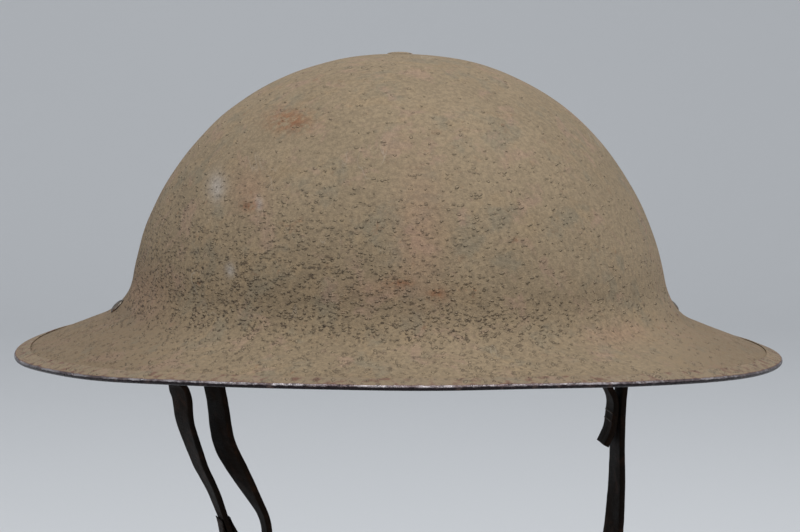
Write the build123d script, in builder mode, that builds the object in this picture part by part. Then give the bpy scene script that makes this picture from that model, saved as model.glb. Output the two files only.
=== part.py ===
from build123d import *
import os
from math import acos, asin, atan2, cos, degrees, hypot, radians, sin, sqrt, tan

# Steel trench helmet: an oval pressed bowl with a wide saddle shaped brim, a folded rim band,
# a liner hung from one crown rivet, and a leather chin strap on two wire bails.
# Millimetres. +X is the wearer's left and right line, +Y runs front to back, +Z is up.
# The origin is the middle of the head opening, level with the lowest points of the rim.

# Overall sizes
rim_half_width = 145.0
rim_half_length = 154.5
saddle_rise = 6.0
crown_height = 114.0
bowl_half_width = 101.5
bowl_half_length = 116.5
bowl_base_height = 16.0
brim_corner_height = 18.1
shell_wall = 0.9

# Form of the bowl's wall, as powers and tilts from the crown
fullness_share = 0.904
flatness_share = 1.088
wall_tilts = (10, 20, 30, 40, 50, 60, 70, 80)
flare_shares = (0.25, 0.5, 0.75, 1)
flare_room_share = 0.6
brim_shares = (0.25, 0.5, 0.75, 1)
section_count = 24

# Folded band round the rim
band_wall = 0.5
band_reach = 5.5
band_clearance = 0.05
band_seam = 0.8

# Crown rivet and its washer
crown_hole_radius = 2.1
crown_shank_radius = 2.0
crown_head_radius = 4.8
crown_head_height = 0.8
crown_tail_radius = 3.6
crown_tail_height = 1.4
washer_radius = 8.0
washer_wall = 1.0
washer_gap = 0.3
rivet_fit = 0.1

# Crossed crown straps of the liner
web_width = 28.0
web_wall = 1.2
web_gap = 1.3
web_cross_gap = 0.9
long_web_tilts = (14, 28, 42, 56)
cross_web_tilts = (14, 28, 40, 50)
web_fold_height = 52.0
web_end_height = 43.0

# Felt pad under the crown
pad_wall = 6.0
pad_gap = 0.3
pad_tilts = (6, 12, 18, 24)

# Liner band, felt band and headband, one inside the other
liner_gap = 17.0
liner_wall = 1.6
liner_bottom = 20.0
liner_top = 53.0
felt_wall = 2.0
felt_bottom = 22.0
felt_top = 44.5
headband_wall = 1.2
headband_bottom = 16.0
headband_top = 62.0
layer_gap = 0.2

# Rivets that hold the crown straps to the liner band
liner_rivet_height = 48.0
liner_rivet_radius = 1.4
liner_rivet_head = 3.2
liner_rivet_rise = 0.9
liner_rivet_tail = 2.3

# Cord net and its drawstring
net_wall = 1.6
net_rise = 25.0
net_border = 5.0
net_cord = 1.8
net_pitch = 15.0
drawstring_radius = 1.0
drawstring_lift = 3.0

# Rubber tubes between the liner band and the shell
cushion_count = 12
cushion_length = 24.0
cushion_height = 36.0
cushion_bore_radius = 2.6
cushion_gap = 0.3

# Lugs that carry the bails, one rivet each
lug_width = 14.0
lug_wall = 1.4
lug_gap = 0.3
lug_fold_gap = 0.2
lug_tail_reach = 6.5
lug_eye_reach = 9.5
lug_rivet_radius = 1.6
lug_rivet_head_radius = 3.3
lug_rivet_head_height = 1.3
lug_rivet_seat = 0.3
lug_rivet_share = 0.58
lug_rivet_tail_radius = 2.9
lug_rivet_tail_height = 1.1

# Wire bails
bail_wire_radius = 1.3
bail_width = 29.0
bail_length = 33.0
bail_bar_inset = 28.84
bail_corner_radius = 5.0
running_gap = 0.05

# Leather chin strap
strap_width = 16.0
strap_wall = 2.2
strap_drop = 160.0
hang_gap = 0.3
eye_slack = 2.0
eye_lean = 50.0
eye_layer_gap = 0.2
tab_length = 18.0
tab_flare_length = 6.0
tab_flare = 2.0
loop_radius = 7.4
loop_lean = 58.0
bend_share = 0.38

# Stitching of the strap's sewn eye
stitch_length = 1.9
stitch_width = 0.7
stitch_rise = 0.4
stitch_pitch = 2.8
stitch_count = 5
stitch_rows = 2
stitch_start = 5.0
stitch_row_pitch = 3.2

# Sliding buckle and the folded leather that holds it
buckle_run = 105.0
buckle_travel = 8.0
buckle_wire_radius = 1.2
buckle_half_length = 6.5
buckle_side_gap = 0.5
buckle_corner_radius = 2.4
chape_wall = 1.6
chape_width = 15.0
chape_length = 51.0
bend_room = 7.0
end_gap = 0.7
chape_rivet_run = 5.0
chape_rivet_radius = 1.3
chape_rivet_head = 2.6
chape_rivet_rise = 0.9

# One overrun serves every cut
overrun = 3.0

# The strap's route below the bails, as shares of the right bar's distance out and of the drop
right_route_shares = (
    (1.039, -0.109),
    (1.013, -0.229),
    (1.015, -0.426),
    (0.95, -0.65),
    (0.754, -0.837),
    (0.438, -0.969),
)
bottom_route_shares = ((0.049, -1.006), (-0.292, -0.931))
left_route_shares = ((-0.847, -0.113), (-0.816, -0.25), (-0.611, -0.433))
strand_aim_shares = (-0.78, -0.434)


def oval_radius(half_width, half_length, turn):
    """Distance from the axis to an oval's edge, at a turn in degrees from +X."""
    across = half_length * cos(radians(turn))
    along = half_width * sin(radians(turn))
    return half_width * half_length / hypot(across, along)


def radial_plane(turn):
    """Upright plane through the axis: its own x is the radius and its own y is the height."""
    x_part, y_part = cos(radians(turn)), sin(radians(turn))
    return Plane(origin=(0, 0, 0), x_dir=(x_part, y_part, 0), z_dir=(y_part, -x_part, 0))


def dome_station(turn, tilt):
    """Point of the bowl's outer face and the way the wall runs there, from crown to brim."""
    bowl = oval_radius(bowl_half_width, bowl_half_length, turn)
    rise = crown_height - bowl_base_height
    s_part, c_part = sin(radians(tilt)), cos(radians(tilt))
    point = Vector(bowl * s_part**fullness_share, bowl_base_height + rise * c_part**flatness_share)
    run = Vector(
        bowl * fullness_share * s_part ** (fullness_share - 1) * c_part,
        -rise * flatness_share * c_part ** (flatness_share - 1) * s_part,
    )
    return point, run.normalized()


def shell_edge(turn):
    """Rim of the shell's outer face, inside the folded band, and the brim's run towards it."""
    inset = shell_wall / 2 + band_clearance + band_wall
    bowl = oval_radius(bowl_half_width, bowl_half_length, turn)
    rim = oval_radius(rim_half_width - inset, rim_half_length - inset, turn)
    edge = Vector(rim, inset + shell_wall / 2 + saddle_rise * sin(radians(turn)) ** 2)
    run = (edge - Vector(bowl, brim_corner_height)).normalized()
    return edge, run


def flare_station(turn, share):
    """Point and run on the smooth curve that joins the wall to the brim."""
    start, wall_run = dome_station(turn, wall_tilts[-1])
    edge, brim_run = shell_edge(turn)
    gap = edge - start
    drop = (gap.X * brim_run.Y - gap.Y * brim_run.X) / (wall_run.X * brim_run.Y - wall_run.Y * brim_run.X)
    corner = start + wall_run * drop
    end = corner + brim_run * min(drop, flare_room_share * (edge - corner).length)
    rest = 1 - share
    point = start * rest**2 + corner * (2 * rest * share) + end * share**2
    run = (corner - start) * rest + (end - corner) * share
    return point, run.normalized()


def wall_stations(turn):
    """Points and runs down the shell's outer face, from the crown hole to the rim."""
    bowl = oval_radius(bowl_half_width, bowl_half_length, turn)
    hole_tilt = degrees(asin((crown_hole_radius / bowl) ** (1 / fullness_share)))
    stations = [dome_station(turn, tilt) for tilt in (hole_tilt,) + wall_tilts]
    stations += [flare_station(turn, share) for share in flare_shares]
    flare_end = stations[-1][0]
    edge, brim_run = shell_edge(turn)
    stations += [(flare_end + (edge - flare_end) * share, brim_run) for share in brim_shares]
    return stations


def inward(run):
    """Unit direction square to a run down the wall, into the shell."""
    return Vector(run.Y, -run.X)


def at_depth(stations, depth):
    """The stations' points, moved a depth inwards from the outer face."""
    return [point + inward(run) * depth for point, run in stations]


def shell_section(turn):
    """Wall section of the shell in one radial plane."""
    stations = wall_stations(turn)
    with BuildSketch(radial_plane(turn)) as section:
        with BuildLine():
            outer = Spline(*at_depth(stations, 0))
            inner = Spline(*at_depth(stations, shell_wall))
            Line(outer @ 0, inner @ 0)
            Line(outer @ 1, inner @ 1)
        make_face()
    return section.sketch.faces()[0]


def band_section(turn):
    """Folded strip over the shell's edge, in one radial plane."""
    edge, run = shell_edge(turn)
    lift = inward(run) * -1
    middle = edge - lift * (shell_wall / 2)
    inner_radius = shell_wall / 2 + band_clearance
    outer_radius = inner_radius + band_wall
    back = run * -band_reach
    with BuildSketch(radial_plane(turn)) as section:
        with BuildLine():
            top = Line(middle + back + lift * outer_radius, middle + lift * outer_radius)
            fold = ThreePointArc(top @ 1, middle + run * outer_radius, middle - lift * outer_radius)
            bottom = Line(fold @ 1, middle + back - lift * outer_radius)
            under = Line(middle - lift * inner_radius, middle + back - lift * inner_radius)
            pocket = ThreePointArc(under @ 0, middle + run * inner_radius, middle + lift * inner_radius)
            over = Line(pocket @ 1, middle + back + lift * inner_radius)
            Line(bottom @ 1, under @ 1)
            Line(over @ 1, top @ 0)
        make_face()
    return section.sketch.faces()[0]


def oval_band(half_width, half_length, wall, bottom, top):
    """Upright oval ring of even wall."""
    with BuildPart() as band:
        with BuildSketch(Plane.XY.offset(bottom)):
            Ellipse(half_width, half_length)
            Ellipse(half_width - wall, half_length - wall, mode=Mode.SUBTRACT)
        extrude(amount=top - bottom)
    return band.part


def side_vector(point):
    """Point of the upright plane y = 0, from its own x and height."""
    return Vector(point.X, 0, point.Y)


# Shell and rim band
section_turns = [360 / section_count * index for index in range(section_count)]
shell_sections = [shell_section(turn) for turn in section_turns]
rivet_point, rivet_run = flare_station(0, lug_rivet_share)
rivet_axis = inward(rivet_run) * -1
rivet_plane = Plane(
    origin=side_vector(rivet_point), x_dir=(0, 1, 0), z_dir=side_vector(rivet_axis)
)

with BuildPart() as shell:
    loft(sections=shell_sections + shell_sections[:1])
    with BuildSketch(rivet_plane):
        Circle(lug_rivet_radius + rivet_fit)
    lug_bore = extrude(amount=overrun, both=True, mode=Mode.SUBTRACT)
    mirror(lug_bore, about=Plane.YZ, mode=Mode.SUBTRACT)

seam_turn = degrees(band_seam / 2 / rim_half_length)
band_turns = [
    90 + seam_turn + (360 - 2 * seam_turn) / section_count * index for index in range(section_count + 1)
]

with BuildPart() as rim_band:
    loft(sections=[band_section(turn) for turn in band_turns])


def rivet_solid(shank, head, rise, grip, tail, tail_rise):
    """Round headed rivet: the head's seat is at height zero and the clenched tail is below."""
    with BuildPart() as rivet:
        with BuildSketch(Plane.XZ):
            with BuildLine():
                dome = TangentArc((0, rise), (head, 0), tangent=(1, 0))
                Polyline(
                    dome @ 1,
                    (shank, 0),
                    (shank, -grip),
                    (tail, -grip),
                    (shank, -grip - tail_rise),
                    (0, -grip - tail_rise),
                    dome @ 0,
                )
            make_face()
        revolve(axis=Axis.Z)
    return rivet.part


# Crown rivet, washer, crossed straps and felt pad
long_web_depth = shell_wall + web_gap + web_wall / 2
cross_web_depth = long_web_depth + web_wall + web_cross_gap
washer_top = crown_height - cross_web_depth - web_wall / 2 - washer_gap
washer_bottom = washer_top - washer_wall

with BuildPart() as crown_rivet:
    with Locations(Plane.XY.offset(crown_height)):
        add(
            rivet_solid(
                crown_shank_radius,
                crown_head_radius,
                crown_head_height,
                crown_height - washer_bottom,
                crown_tail_radius,
                crown_tail_height,
            )
        )

with BuildPart() as crown_washer:
    with BuildSketch(Plane.XY.offset(washer_bottom)):
        Circle(washer_radius)
        Circle(crown_shank_radius + rivet_fit, mode=Mode.SUBTRACT)
    extrude(amount=washer_wall)


def crown_web(turn, tilts, depth, band_radius):
    """Strap of the liner that follows the bowl over the crown and lies on the band at each end."""
    stations = [dome_station(turn, tilt) for tilt in tilts]
    start = Vector(0, crown_height - depth)
    middle_plane = Plane(origin=(0, 0, 0), z_dir=(cos(radians(turn)), sin(radians(turn)), 0))
    drop_line = band_radius + layer_gap + web_wall / 2
    fold = Vector(drop_line, web_fold_height)
    with BuildPart() as web:
        with BuildSketch(radial_plane(turn)):
            with BuildLine():
                Spline(start, *at_depth(stations, depth), fold, tangents=(Vector(1, 0), Vector(0, -1)))
                Line(fold, (drop_line, web_end_height))
            trace(line_width=web_wall)
        extrude(amount=web_width / 2, both=True)
        mirror(about=middle_plane)
        with BuildSketch(Plane.XY.offset(crown_height)):
            Circle(crown_shank_radius + rivet_fit)
        extrude(amount=-(depth + web_wall + overrun), mode=Mode.SUBTRACT)
        for sign in (1, -1):
            with BuildSketch(liner_rivet_plane(turn, sign, band_radius)):
                Circle(liner_rivet_radius + rivet_fit)
            extrude(amount=overrun, both=True, mode=Mode.SUBTRACT)
    return web.part


def liner_rivet_plane(turn, sign, band_radius):
    """Plane on the band's outer face, where a strap's rivet sits, facing outwards."""
    out = Vector(sign * cos(radians(turn)), sign * sin(radians(turn)), 0)
    return Plane(origin=out * band_radius + Vector(0, 0, liner_rivet_height), z_dir=out)


liner_half_width = bowl_half_width - liner_gap
liner_half_length = bowl_half_length - liner_gap
liner_rivet_places = [
    (turn, sign, radius)
    for turn, radius in ((0, liner_half_width), (90, liner_half_length))
    for sign in (1, -1)
]
crown_strap_long = crown_web(90, long_web_tilts, long_web_depth, liner_half_length)
crown_strap_cross = crown_web(0, cross_web_tilts, cross_web_depth, liner_half_width)

pad_depth = cross_web_depth + web_wall / 2 + pad_gap
with BuildPart() as crown_pad:
    with BuildSketch(Plane.XZ):
        pad_stations = [dome_station(0, tilt) for tilt in pad_tilts]
        with BuildLine():
            pad_top = Spline(*at_depth(pad_stations, pad_depth))
            pad_under = Spline(*at_depth(pad_stations, pad_depth + pad_wall))
            Line(pad_top @ 0, pad_under @ 0)
            Line(pad_top @ 1, pad_under @ 1)
        make_face()
    revolve(axis=Axis.Z)

# Liner band, felt band, headband, and the strap ends' rivets
with BuildPart() as liner_band:
    add(oval_band(liner_half_width, liner_half_length, liner_wall, liner_bottom, liner_top))
    for place in liner_rivet_places:
        with BuildSketch(liner_rivet_plane(*place)):
            Circle(liner_rivet_radius + rivet_fit)
        extrude(amount=overrun, both=True, mode=Mode.SUBTRACT)

felt_inset = liner_wall + layer_gap
felt_band = oval_band(
    liner_half_width - felt_inset, liner_half_length - felt_inset, felt_wall, felt_bottom, felt_top
)
headband_inset = felt_inset + felt_wall + layer_gap
headband_half_width = liner_half_width - headband_inset
headband_half_length = liner_half_length - headband_inset
headband = oval_band(
    headband_half_width, headband_half_length, headband_wall, headband_bottom, headband_top
)


with BuildPart() as liner_rivets:
    web_seat = layer_gap + web_wall
    for place in liner_rivet_places:
        with Locations(liner_rivet_plane(*place).offset(web_seat)):
            add(
                rivet_solid(
                    liner_rivet_radius,
                    liner_rivet_head,
                    liner_rivet_rise,
                    web_seat + liner_wall + layer_gap / 2,
                    liner_rivet_tail,
                    liner_rivet_rise,
                )
            )

# Cord net on the headband's upper edge, and the drawstring round it
net_half_width = headband_half_width
net_half_length = headband_half_length
net_bottom = headband_top + layer_gap

with BuildPart() as crown_net:
    with BuildSketch(Plane.XZ):
        with Locations((0, net_bottom)):
            Ellipse(net_half_width, net_rise)
            Ellipse(net_half_width - net_wall, net_rise - net_wall, mode=Mode.SUBTRACT)
        with Locations((net_half_width / 2, net_bottom + net_rise / 2)):
            Rectangle(net_half_width, net_rise, mode=Mode.INTERSECT)
    revolve(axis=Axis.Z)
    scale(by=(1, net_half_length / net_half_width, 1))
    with BuildSketch(Plane.XY.offset(net_bottom)):
        Ellipse(net_half_width, net_half_length)
        Ellipse(net_half_width - net_border, net_half_length - net_border, mode=Mode.SUBTRACT)
        rows = int(net_half_length / net_pitch)
        with Locations(*[(0, net_pitch * row) for row in range(-rows, rows + 1)]):
            Rectangle(net_half_length * 2, net_cord)
        with Locations(*[(net_pitch * row, 0) for row in range(-rows, rows + 1)]):
            Rectangle(net_cord, net_half_length * 2)
        Ellipse(net_half_width, net_half_length, mode=Mode.INTERSECT)
    extrude(amount=net_rise, mode=Mode.INTERSECT)

string_half_width = headband_half_width + layer_gap + drawstring_radius
string_half_length = headband_half_length + layer_gap + drawstring_radius
with BuildPart() as drawstring:
    with BuildLine(Plane.XY.offset(liner_top + drawstring_lift + drawstring_radius)) as string_line:
        EllipticalCenterArc((0, 0), string_half_width, string_half_length, arc_size=360)
    with BuildSketch(Plane(origin=string_line.line @ 0, z_dir=string_line.line % 0)):
        Circle(drawstring_radius)
    sweep(path=string_line.line)


# Rubber tubes between the liner band and the shell
cushion_lift_share = (cushion_height - bowl_base_height) / (crown_height - bowl_base_height)
cushion_tilt = degrees(acos(cushion_lift_share ** (1 / flatness_share)))


def cushion_seat(turn):
    """Point on the liner band, the way out from it, and the room there to the shell."""
    foot = Vector(liner_half_width * cos(radians(turn)), liner_half_length * sin(radians(turn)))
    out = Vector(liner_half_length * cos(radians(turn)), liner_half_width * sin(radians(turn))).normalized()
    point, run = dome_station(0, cushion_tilt)
    wall_across = shell_wall / -run.Y
    half_width = point.X - wall_across
    half_length = dome_station(90, cushion_tilt)[0].X - wall_across
    square = (out.X / half_width) ** 2 + (out.Y / half_length) ** 2
    cross = foot.X * out.X / half_width**2 + foot.Y * out.Y / half_length**2
    rest = (foot.X / half_width) ** 2 + (foot.Y / half_length) ** 2 - 1
    room = (sqrt(cross**2 - square * rest) - cross) / square
    return foot, out, room


wall_run = dome_station(0, cushion_tilt)[1]
cushion_turns = [360 / cushion_count * (index + 1 / 2) for index in range(cushion_count)]
cushion_room = min(cushion_seat(turn)[2] for turn in cushion_turns)
bow = cushion_length**2 / 8 / (bowl_half_width**2 / bowl_half_length)
cushion_radius = (cushion_room - bow - 2 * cushion_gap) / (1 - 1 / wall_run.Y)


def cushion(turn):
    """Short rubber tube that lies along the band."""
    foot, out, _ = cushion_seat(turn)
    centre = foot + out * (cushion_gap + cushion_radius)
    lift = Vector(0, 0, cushion_height)
    with BuildPart() as tube:
        with BuildSketch(Plane(origin=centre + lift, z_dir=(-out.Y, out.X, 0))):
            Circle(cushion_radius)
            Circle(cushion_bore_radius, mode=Mode.SUBTRACT)
        extrude(amount=cushion_length / 2, both=True)
    return tube.part


cushions = [cushion(turn) for turn in cushion_turns]

# Lugs on the flare of the shell, and their rivets
lug_depth = shell_wall + lug_gap + lug_wall + lug_fold_gap / 2
lug_plane = Plane(origin=side_vector(rivet_point), x_dir=side_vector(rivet_run), z_dir=(0, -1, 0))
eye_inner_radius = bail_wire_radius + running_gap
eye_outer_radius = eye_inner_radius + lug_wall
lug_reach = lug_tail_reach + lug_eye_reach

with BuildPart() as right_lug:
    with BuildSketch(lug_plane):
        with Locations(((lug_eye_reach - lug_tail_reach) / 2, -lug_depth)):
            Rectangle(lug_reach, 2 * lug_wall + lug_fold_gap)
        with Locations((lug_eye_reach, -lug_depth)):
            Circle(eye_outer_radius)
            Circle(eye_inner_radius, mode=Mode.SUBTRACT)
        with Locations(((lug_eye_reach - lug_tail_reach) / 2, -lug_depth)):
            Rectangle(lug_reach, lug_fold_gap, mode=Mode.SUBTRACT)
    extrude(amount=lug_width / 2, both=True)
    with BuildSketch(rivet_plane):
        Circle(lug_rivet_radius + rivet_fit)
    extrude(amount=-(lug_depth + lug_wall + overrun), mode=Mode.SUBTRACT)

with BuildPart() as right_lug_rivet:
    with Locations(rivet_plane.offset(lug_rivet_seat)):
        add(
            rivet_solid(
                lug_rivet_radius,
                lug_rivet_head_radius,
                lug_rivet_head_height,
                lug_rivet_seat + lug_depth + lug_wall + lug_fold_gap / 2,
                lug_rivet_tail_radius,
                lug_rivet_tail_height,
            )
        )

# Wire bails: the pivot lies in the lug's eye and the lower bar carries the strap
pivot = rivet_point + rivet_run * lug_eye_reach - rivet_axis * lug_depth
bar_drop = sqrt(bail_length**2 - bail_bar_inset**2)
bar = Vector(pivot.X - bail_bar_inset, pivot.Y - bar_drop)
bail_hang = side_vector(bar - pivot).normalized()
bail_plane = Plane(
    origin=side_vector(pivot), x_dir=(0, 1, 0), z_dir=Vector(0, 1, 0).cross(bail_hang)
)

with BuildPart() as right_bail:
    with BuildLine(bail_plane) as bail_line:
        FilletPolyline(
            (0, 0),
            (bail_width / 2, 0),
            (bail_width / 2, bail_length),
            (0, bail_length),
            radius=bail_corner_radius,
        )
    with BuildSketch(Plane(origin=bail_line.line @ 0, z_dir=bail_line.line % 0)):
        Circle(bail_wire_radius)
    sweep(path=bail_line.line)
    mirror(about=Plane.XZ)


def left_copy(part):
    """The same piece on the other side."""
    return mirror(part, about=Plane.YZ)


left_lug = left_copy(right_lug.part)
left_lug_rivet = left_copy(right_lug_rivet.part)
left_bail = left_copy(right_bail.part)


# Chin strap
def route_point(share):
    """Point of the strap's route from its shares of the bar's distance out and of the drop."""
    return Vector(share[0] * bar.X, share[1] * strap_drop)


def tangent_point(outside, centre, radius, side):
    """Where a line from an outside point touches a circle, on the side asked for."""
    away = outside - centre
    turn = atan2(away.Y, away.X) + side * acos(radius / away.length)
    return centre + Vector(radius * cos(turn), radius * sin(turn))


def bend_radii(points):
    """Radius at each corner of a route, as large as its shorter run allows."""
    radii = []
    for before, corner, after in zip(points, points[1:], points[2:]):
        turn = radians((corner - before).get_angle(after - corner))
        run = min((corner - before).length, (after - corner).length)
        radii.append(bend_share * run / tan(turn / 2))
    return radii


# Sewn eye round the right bail's bar
eye_centre_radius = bail_wire_radius + eye_slack + strap_wall / 2
eye_hang = eye_slack - hang_gap
eye_centre = bar + Vector(sin(radians(eye_lean)), -cos(radians(eye_lean))) * eye_hang
neck = route_point(right_route_shares[0])
down = (route_point(right_route_shares[1]) - neck).normalized()
outward = Vector(-down.Y, down.X)
half_layer = outward * ((strap_wall + eye_layer_gap) / 2)
neck_out = neck + half_layer
neck_in = neck - half_layer
eye_out = tangent_point(neck_out, eye_centre, eye_centre_radius, 1)
eye_in = tangent_point(neck_in, eye_centre, eye_centre_radius, -1)
eye_top = eye_centre + (eye_centre - neck).normalized() * eye_centre_radius
tab_bend = neck_in + down * (tab_length - tab_flare_length)
tab_end = neck_in + down * tab_length - outward * tab_flare

# Loop over the left bail's bar
left_bar = Vector(-bar.X, bar.Y)
loop_hang = loop_radius - strap_wall / 2 - bail_wire_radius - hang_gap
loop_centre = left_bar + Vector(sin(radians(loop_lean)), -cos(radians(loop_lean))) * loop_hang
strand_aim = route_point(strand_aim_shares)
loop_start = tangent_point(route_point(left_route_shares[0]), loop_centre, loop_radius, 1)
loop_end = tangent_point(strand_aim, loop_centre, loop_radius, -1)
loop_top = loop_centre + (loop_centre - (loop_start + loop_end) / 2).normalized() * loop_radius
strand_run = (strand_aim - loop_end).normalized()
strand_side = Vector(-strand_run.Y, strand_run.X)

# Places along the outer strand: the buckle's bar, the strap's end and the inner strand beside it
buckle_bar = loop_end + strand_run * buckle_run
strand_end = buckle_bar - strand_run * (
    chape_rivet_run + chape_rivet_radius + rivet_fit + buckle_travel + end_gap
)
chape_half_gap = buckle_wire_radius + running_gap
inner_offset = chape_half_gap + chape_wall + hang_gap + strap_wall / 2
inner_bar = buckle_bar + strand_side * inner_offset
straight_reach = buckle_travel + buckle_half_length + buckle_wire_radius + bend_room
inner_high = inner_bar - strand_run * straight_reach
inner_low = inner_bar + strand_run * (straight_reach + bend_room)

tab_route = [tab_end, tab_bend, neck_in, eye_in]
main_route = [eye_out, neck_out]
main_route += [route_point(right_route_shares[1]) + half_layer]
main_route += [route_point(share) for share in right_route_shares[2:] + bottom_route_shares]
main_route += [inner_low, inner_high]
main_route += [route_point(share) for share in left_route_shares[::-1]]
main_route += [loop_start]
print("strap bend radii", [round(radius, 1) for radius in bend_radii(main_route)])

with BuildPart() as chin_strap:
    with BuildSketch(Plane.XZ):
        with BuildLine() as strap_line:
            FilletPolyline(*tab_route, radius=bend_radii(tab_route))
            ThreePointArc(eye_in, eye_top, eye_out)
            FilletPolyline(*main_route, radius=bend_radii(main_route))
            ThreePointArc(loop_start, loop_top, loop_end)
            Line(loop_end, strand_end)
        trace(line_width=strap_wall)
    extrude(amount=strap_width / 2, both=True)
print("strap length", round(sum(edge.length for edge in strap_line.line.edges()), 1))

# Stitches across the sewn eye, on both faces
with BuildPart() as eye_stitching:
    for start, face_side in ((neck_out, outward), (neck_in, outward * -1)):
        face_point = start + face_side * (strap_wall / 2)
        for row in range(stitch_rows):
            place = face_point + down * (stitch_start + stitch_row_pitch * row)
            stitch_plane = Plane(origin=side_vector(place), x_dir=(0, 1, 0), z_dir=side_vector(face_side))
            with Locations(stitch_plane):
                with GridLocations(stitch_pitch, 0, stitch_count, 1):
                    Box(
                        stitch_length,
                        stitch_width,
                        stitch_rise,
                        align=(Align.CENTER, Align.CENTER, Align.MIN),
                    )

# Sliding buckle, the folded leather round its bar, and its rivet
buckle_plane = Plane(origin=side_vector(buckle_bar), x_dir=side_vector(strand_run), z_dir=(0, -1, 0))
rail_half_span = strap_width / 2 + buckle_side_gap + buckle_wire_radius
frame_offset = inner_offset + strap_wall / 2 + hang_gap + buckle_wire_radius
frame_plane = Plane(
    origin=side_vector(buckle_bar + strand_side * frame_offset),
    x_dir=side_vector(strand_run),
    z_dir=side_vector(strand_side),
)
bridge_plane = Plane(
    origin=side_vector(buckle_bar), x_dir=(0, 1, 0), z_dir=Vector(0, 1, 0).cross(side_vector(strand_side))
)

with BuildPart() as buckle:
    with BuildLine(frame_plane) as frame_line:
        FilletPolyline(
            (-buckle_half_length, 0),
            (-buckle_half_length, rail_half_span),
            (buckle_half_length, rail_half_span),
            (buckle_half_length, 0),
            radius=buckle_corner_radius,
        )
    with BuildSketch(Plane(origin=frame_line.line @ 0, z_dir=frame_line.line % 0)):
        Circle(buckle_wire_radius)
    sweep(path=frame_line.line)
    with BuildLine(bridge_plane) as bridge_line:
        FilletPolyline(
            (0, 0), (rail_half_span, 0), (rail_half_span, frame_offset), radius=buckle_corner_radius
        )
    with BuildSketch(Plane(origin=bridge_line.line @ 0, z_dir=bridge_line.line % 0)):
        Circle(buckle_wire_radius)
    sweep(path=bridge_line.line)
    mirror(about=Plane.XZ)

chape_centre = chape_half_gap + chape_wall / 2
chape_face = chape_half_gap + chape_wall
chape_rivet_plane = Plane(
    origin=side_vector(buckle_bar - strand_run * chape_rivet_run - strand_side * chape_face),
    x_dir=(0, 1, 0),
    z_dir=side_vector(strand_side * -1),
)

with BuildPart() as buckle_chape:
    with BuildSketch(buckle_plane):
        with BuildLine():
            inner_leaf = Line((-chape_length, chape_centre), (0, chape_centre))
            fold_arc = ThreePointArc(inner_leaf @ 1, (chape_centre, 0), (0, -chape_centre))
            Line(fold_arc @ 1, (-chape_length, -chape_centre))
        trace(line_width=chape_wall)
    extrude(amount=chape_width / 2, both=True)
    with BuildSketch(chape_rivet_plane):
        Circle(chape_rivet_radius + rivet_fit)
    extrude(amount=-(2 * chape_face), mode=Mode.SUBTRACT)

with BuildPart() as chape_rivet:
    with BuildSketch(chape_rivet_plane):
        Circle(chape_rivet_radius)
    extrude(amount=-(2 * chape_face))
    with BuildSketch(chape_rivet_plane):
        Circle(chape_rivet_head)
    extrude(amount=chape_rivet_rise)
    fillet(chape_rivet.faces().sort_by(Axis.X)[0].edges(), radius=chape_rivet_rise / 2)

# Every piece under its own name
pieces = {
    "shell": shell.part,
    "rim_band": rim_band.part,
    "crown_rivet": crown_rivet.part,
    "crown_washer": crown_washer.part,
    "crown_strap_long": crown_strap_long,
    "crown_strap_cross": crown_strap_cross,
    "crown_pad": crown_pad.part,
    "liner_band": liner_band.part,
    "liner_rivets": liner_rivets.part,
    "felt_band": felt_band,
    "headband": headband,
    "crown_net": crown_net.part,
    "drawstring": drawstring.part,
    "right_lug": right_lug.part,
    "left_lug": left_lug,
    "right_lug_rivet": right_lug_rivet.part,
    "left_lug_rivet": left_lug_rivet,
    "right_bail": right_bail.part,
    "left_bail": left_bail,
    "chin_strap": chin_strap.part,
    "eye_stitching": eye_stitching.part,
    "buckle": buckle.part,
    "buckle_chape": buckle_chape.part,
    "chape_rivet": chape_rivet.part,
}
for index, part in enumerate(cushions):
    pieces[f"cushion_{index + 1:02d}"] = part

os.makedirs("parts", exist_ok=True)
for label, part in pieces.items():
    part.label = label
    export_step(part, f"parts/{label}.step")
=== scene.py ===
import math

import bmesh
import bpy
import numpy as np
from mathutils import Matrix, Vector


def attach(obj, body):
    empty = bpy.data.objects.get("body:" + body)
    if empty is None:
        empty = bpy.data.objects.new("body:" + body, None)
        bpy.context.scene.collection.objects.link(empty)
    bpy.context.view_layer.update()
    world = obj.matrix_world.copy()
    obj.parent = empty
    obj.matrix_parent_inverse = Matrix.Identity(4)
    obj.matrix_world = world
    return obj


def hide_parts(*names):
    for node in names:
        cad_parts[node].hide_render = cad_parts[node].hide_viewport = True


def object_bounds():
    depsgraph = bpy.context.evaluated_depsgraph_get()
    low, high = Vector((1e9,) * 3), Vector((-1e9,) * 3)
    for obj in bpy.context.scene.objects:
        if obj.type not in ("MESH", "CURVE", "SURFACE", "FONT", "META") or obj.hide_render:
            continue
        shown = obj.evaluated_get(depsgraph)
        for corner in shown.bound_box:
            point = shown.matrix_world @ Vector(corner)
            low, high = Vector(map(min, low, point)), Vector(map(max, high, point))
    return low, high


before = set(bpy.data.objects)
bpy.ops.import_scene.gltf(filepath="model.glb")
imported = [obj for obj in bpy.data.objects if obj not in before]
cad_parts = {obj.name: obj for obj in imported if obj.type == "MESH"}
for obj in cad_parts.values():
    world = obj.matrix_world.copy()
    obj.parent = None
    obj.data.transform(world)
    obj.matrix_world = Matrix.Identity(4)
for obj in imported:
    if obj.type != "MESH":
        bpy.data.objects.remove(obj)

# Looks of the steel trench helmet. Shapes are worked out in millimetres and put into the meshes in
# metres. +X runs from side to side, +Y front to back, +Z up. The origin is the middle of the head
# opening, level with the lowest points of the rim.
cad_box = [list(corner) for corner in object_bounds()]
MM = 0.001
quarter = math.pi / 2

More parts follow.
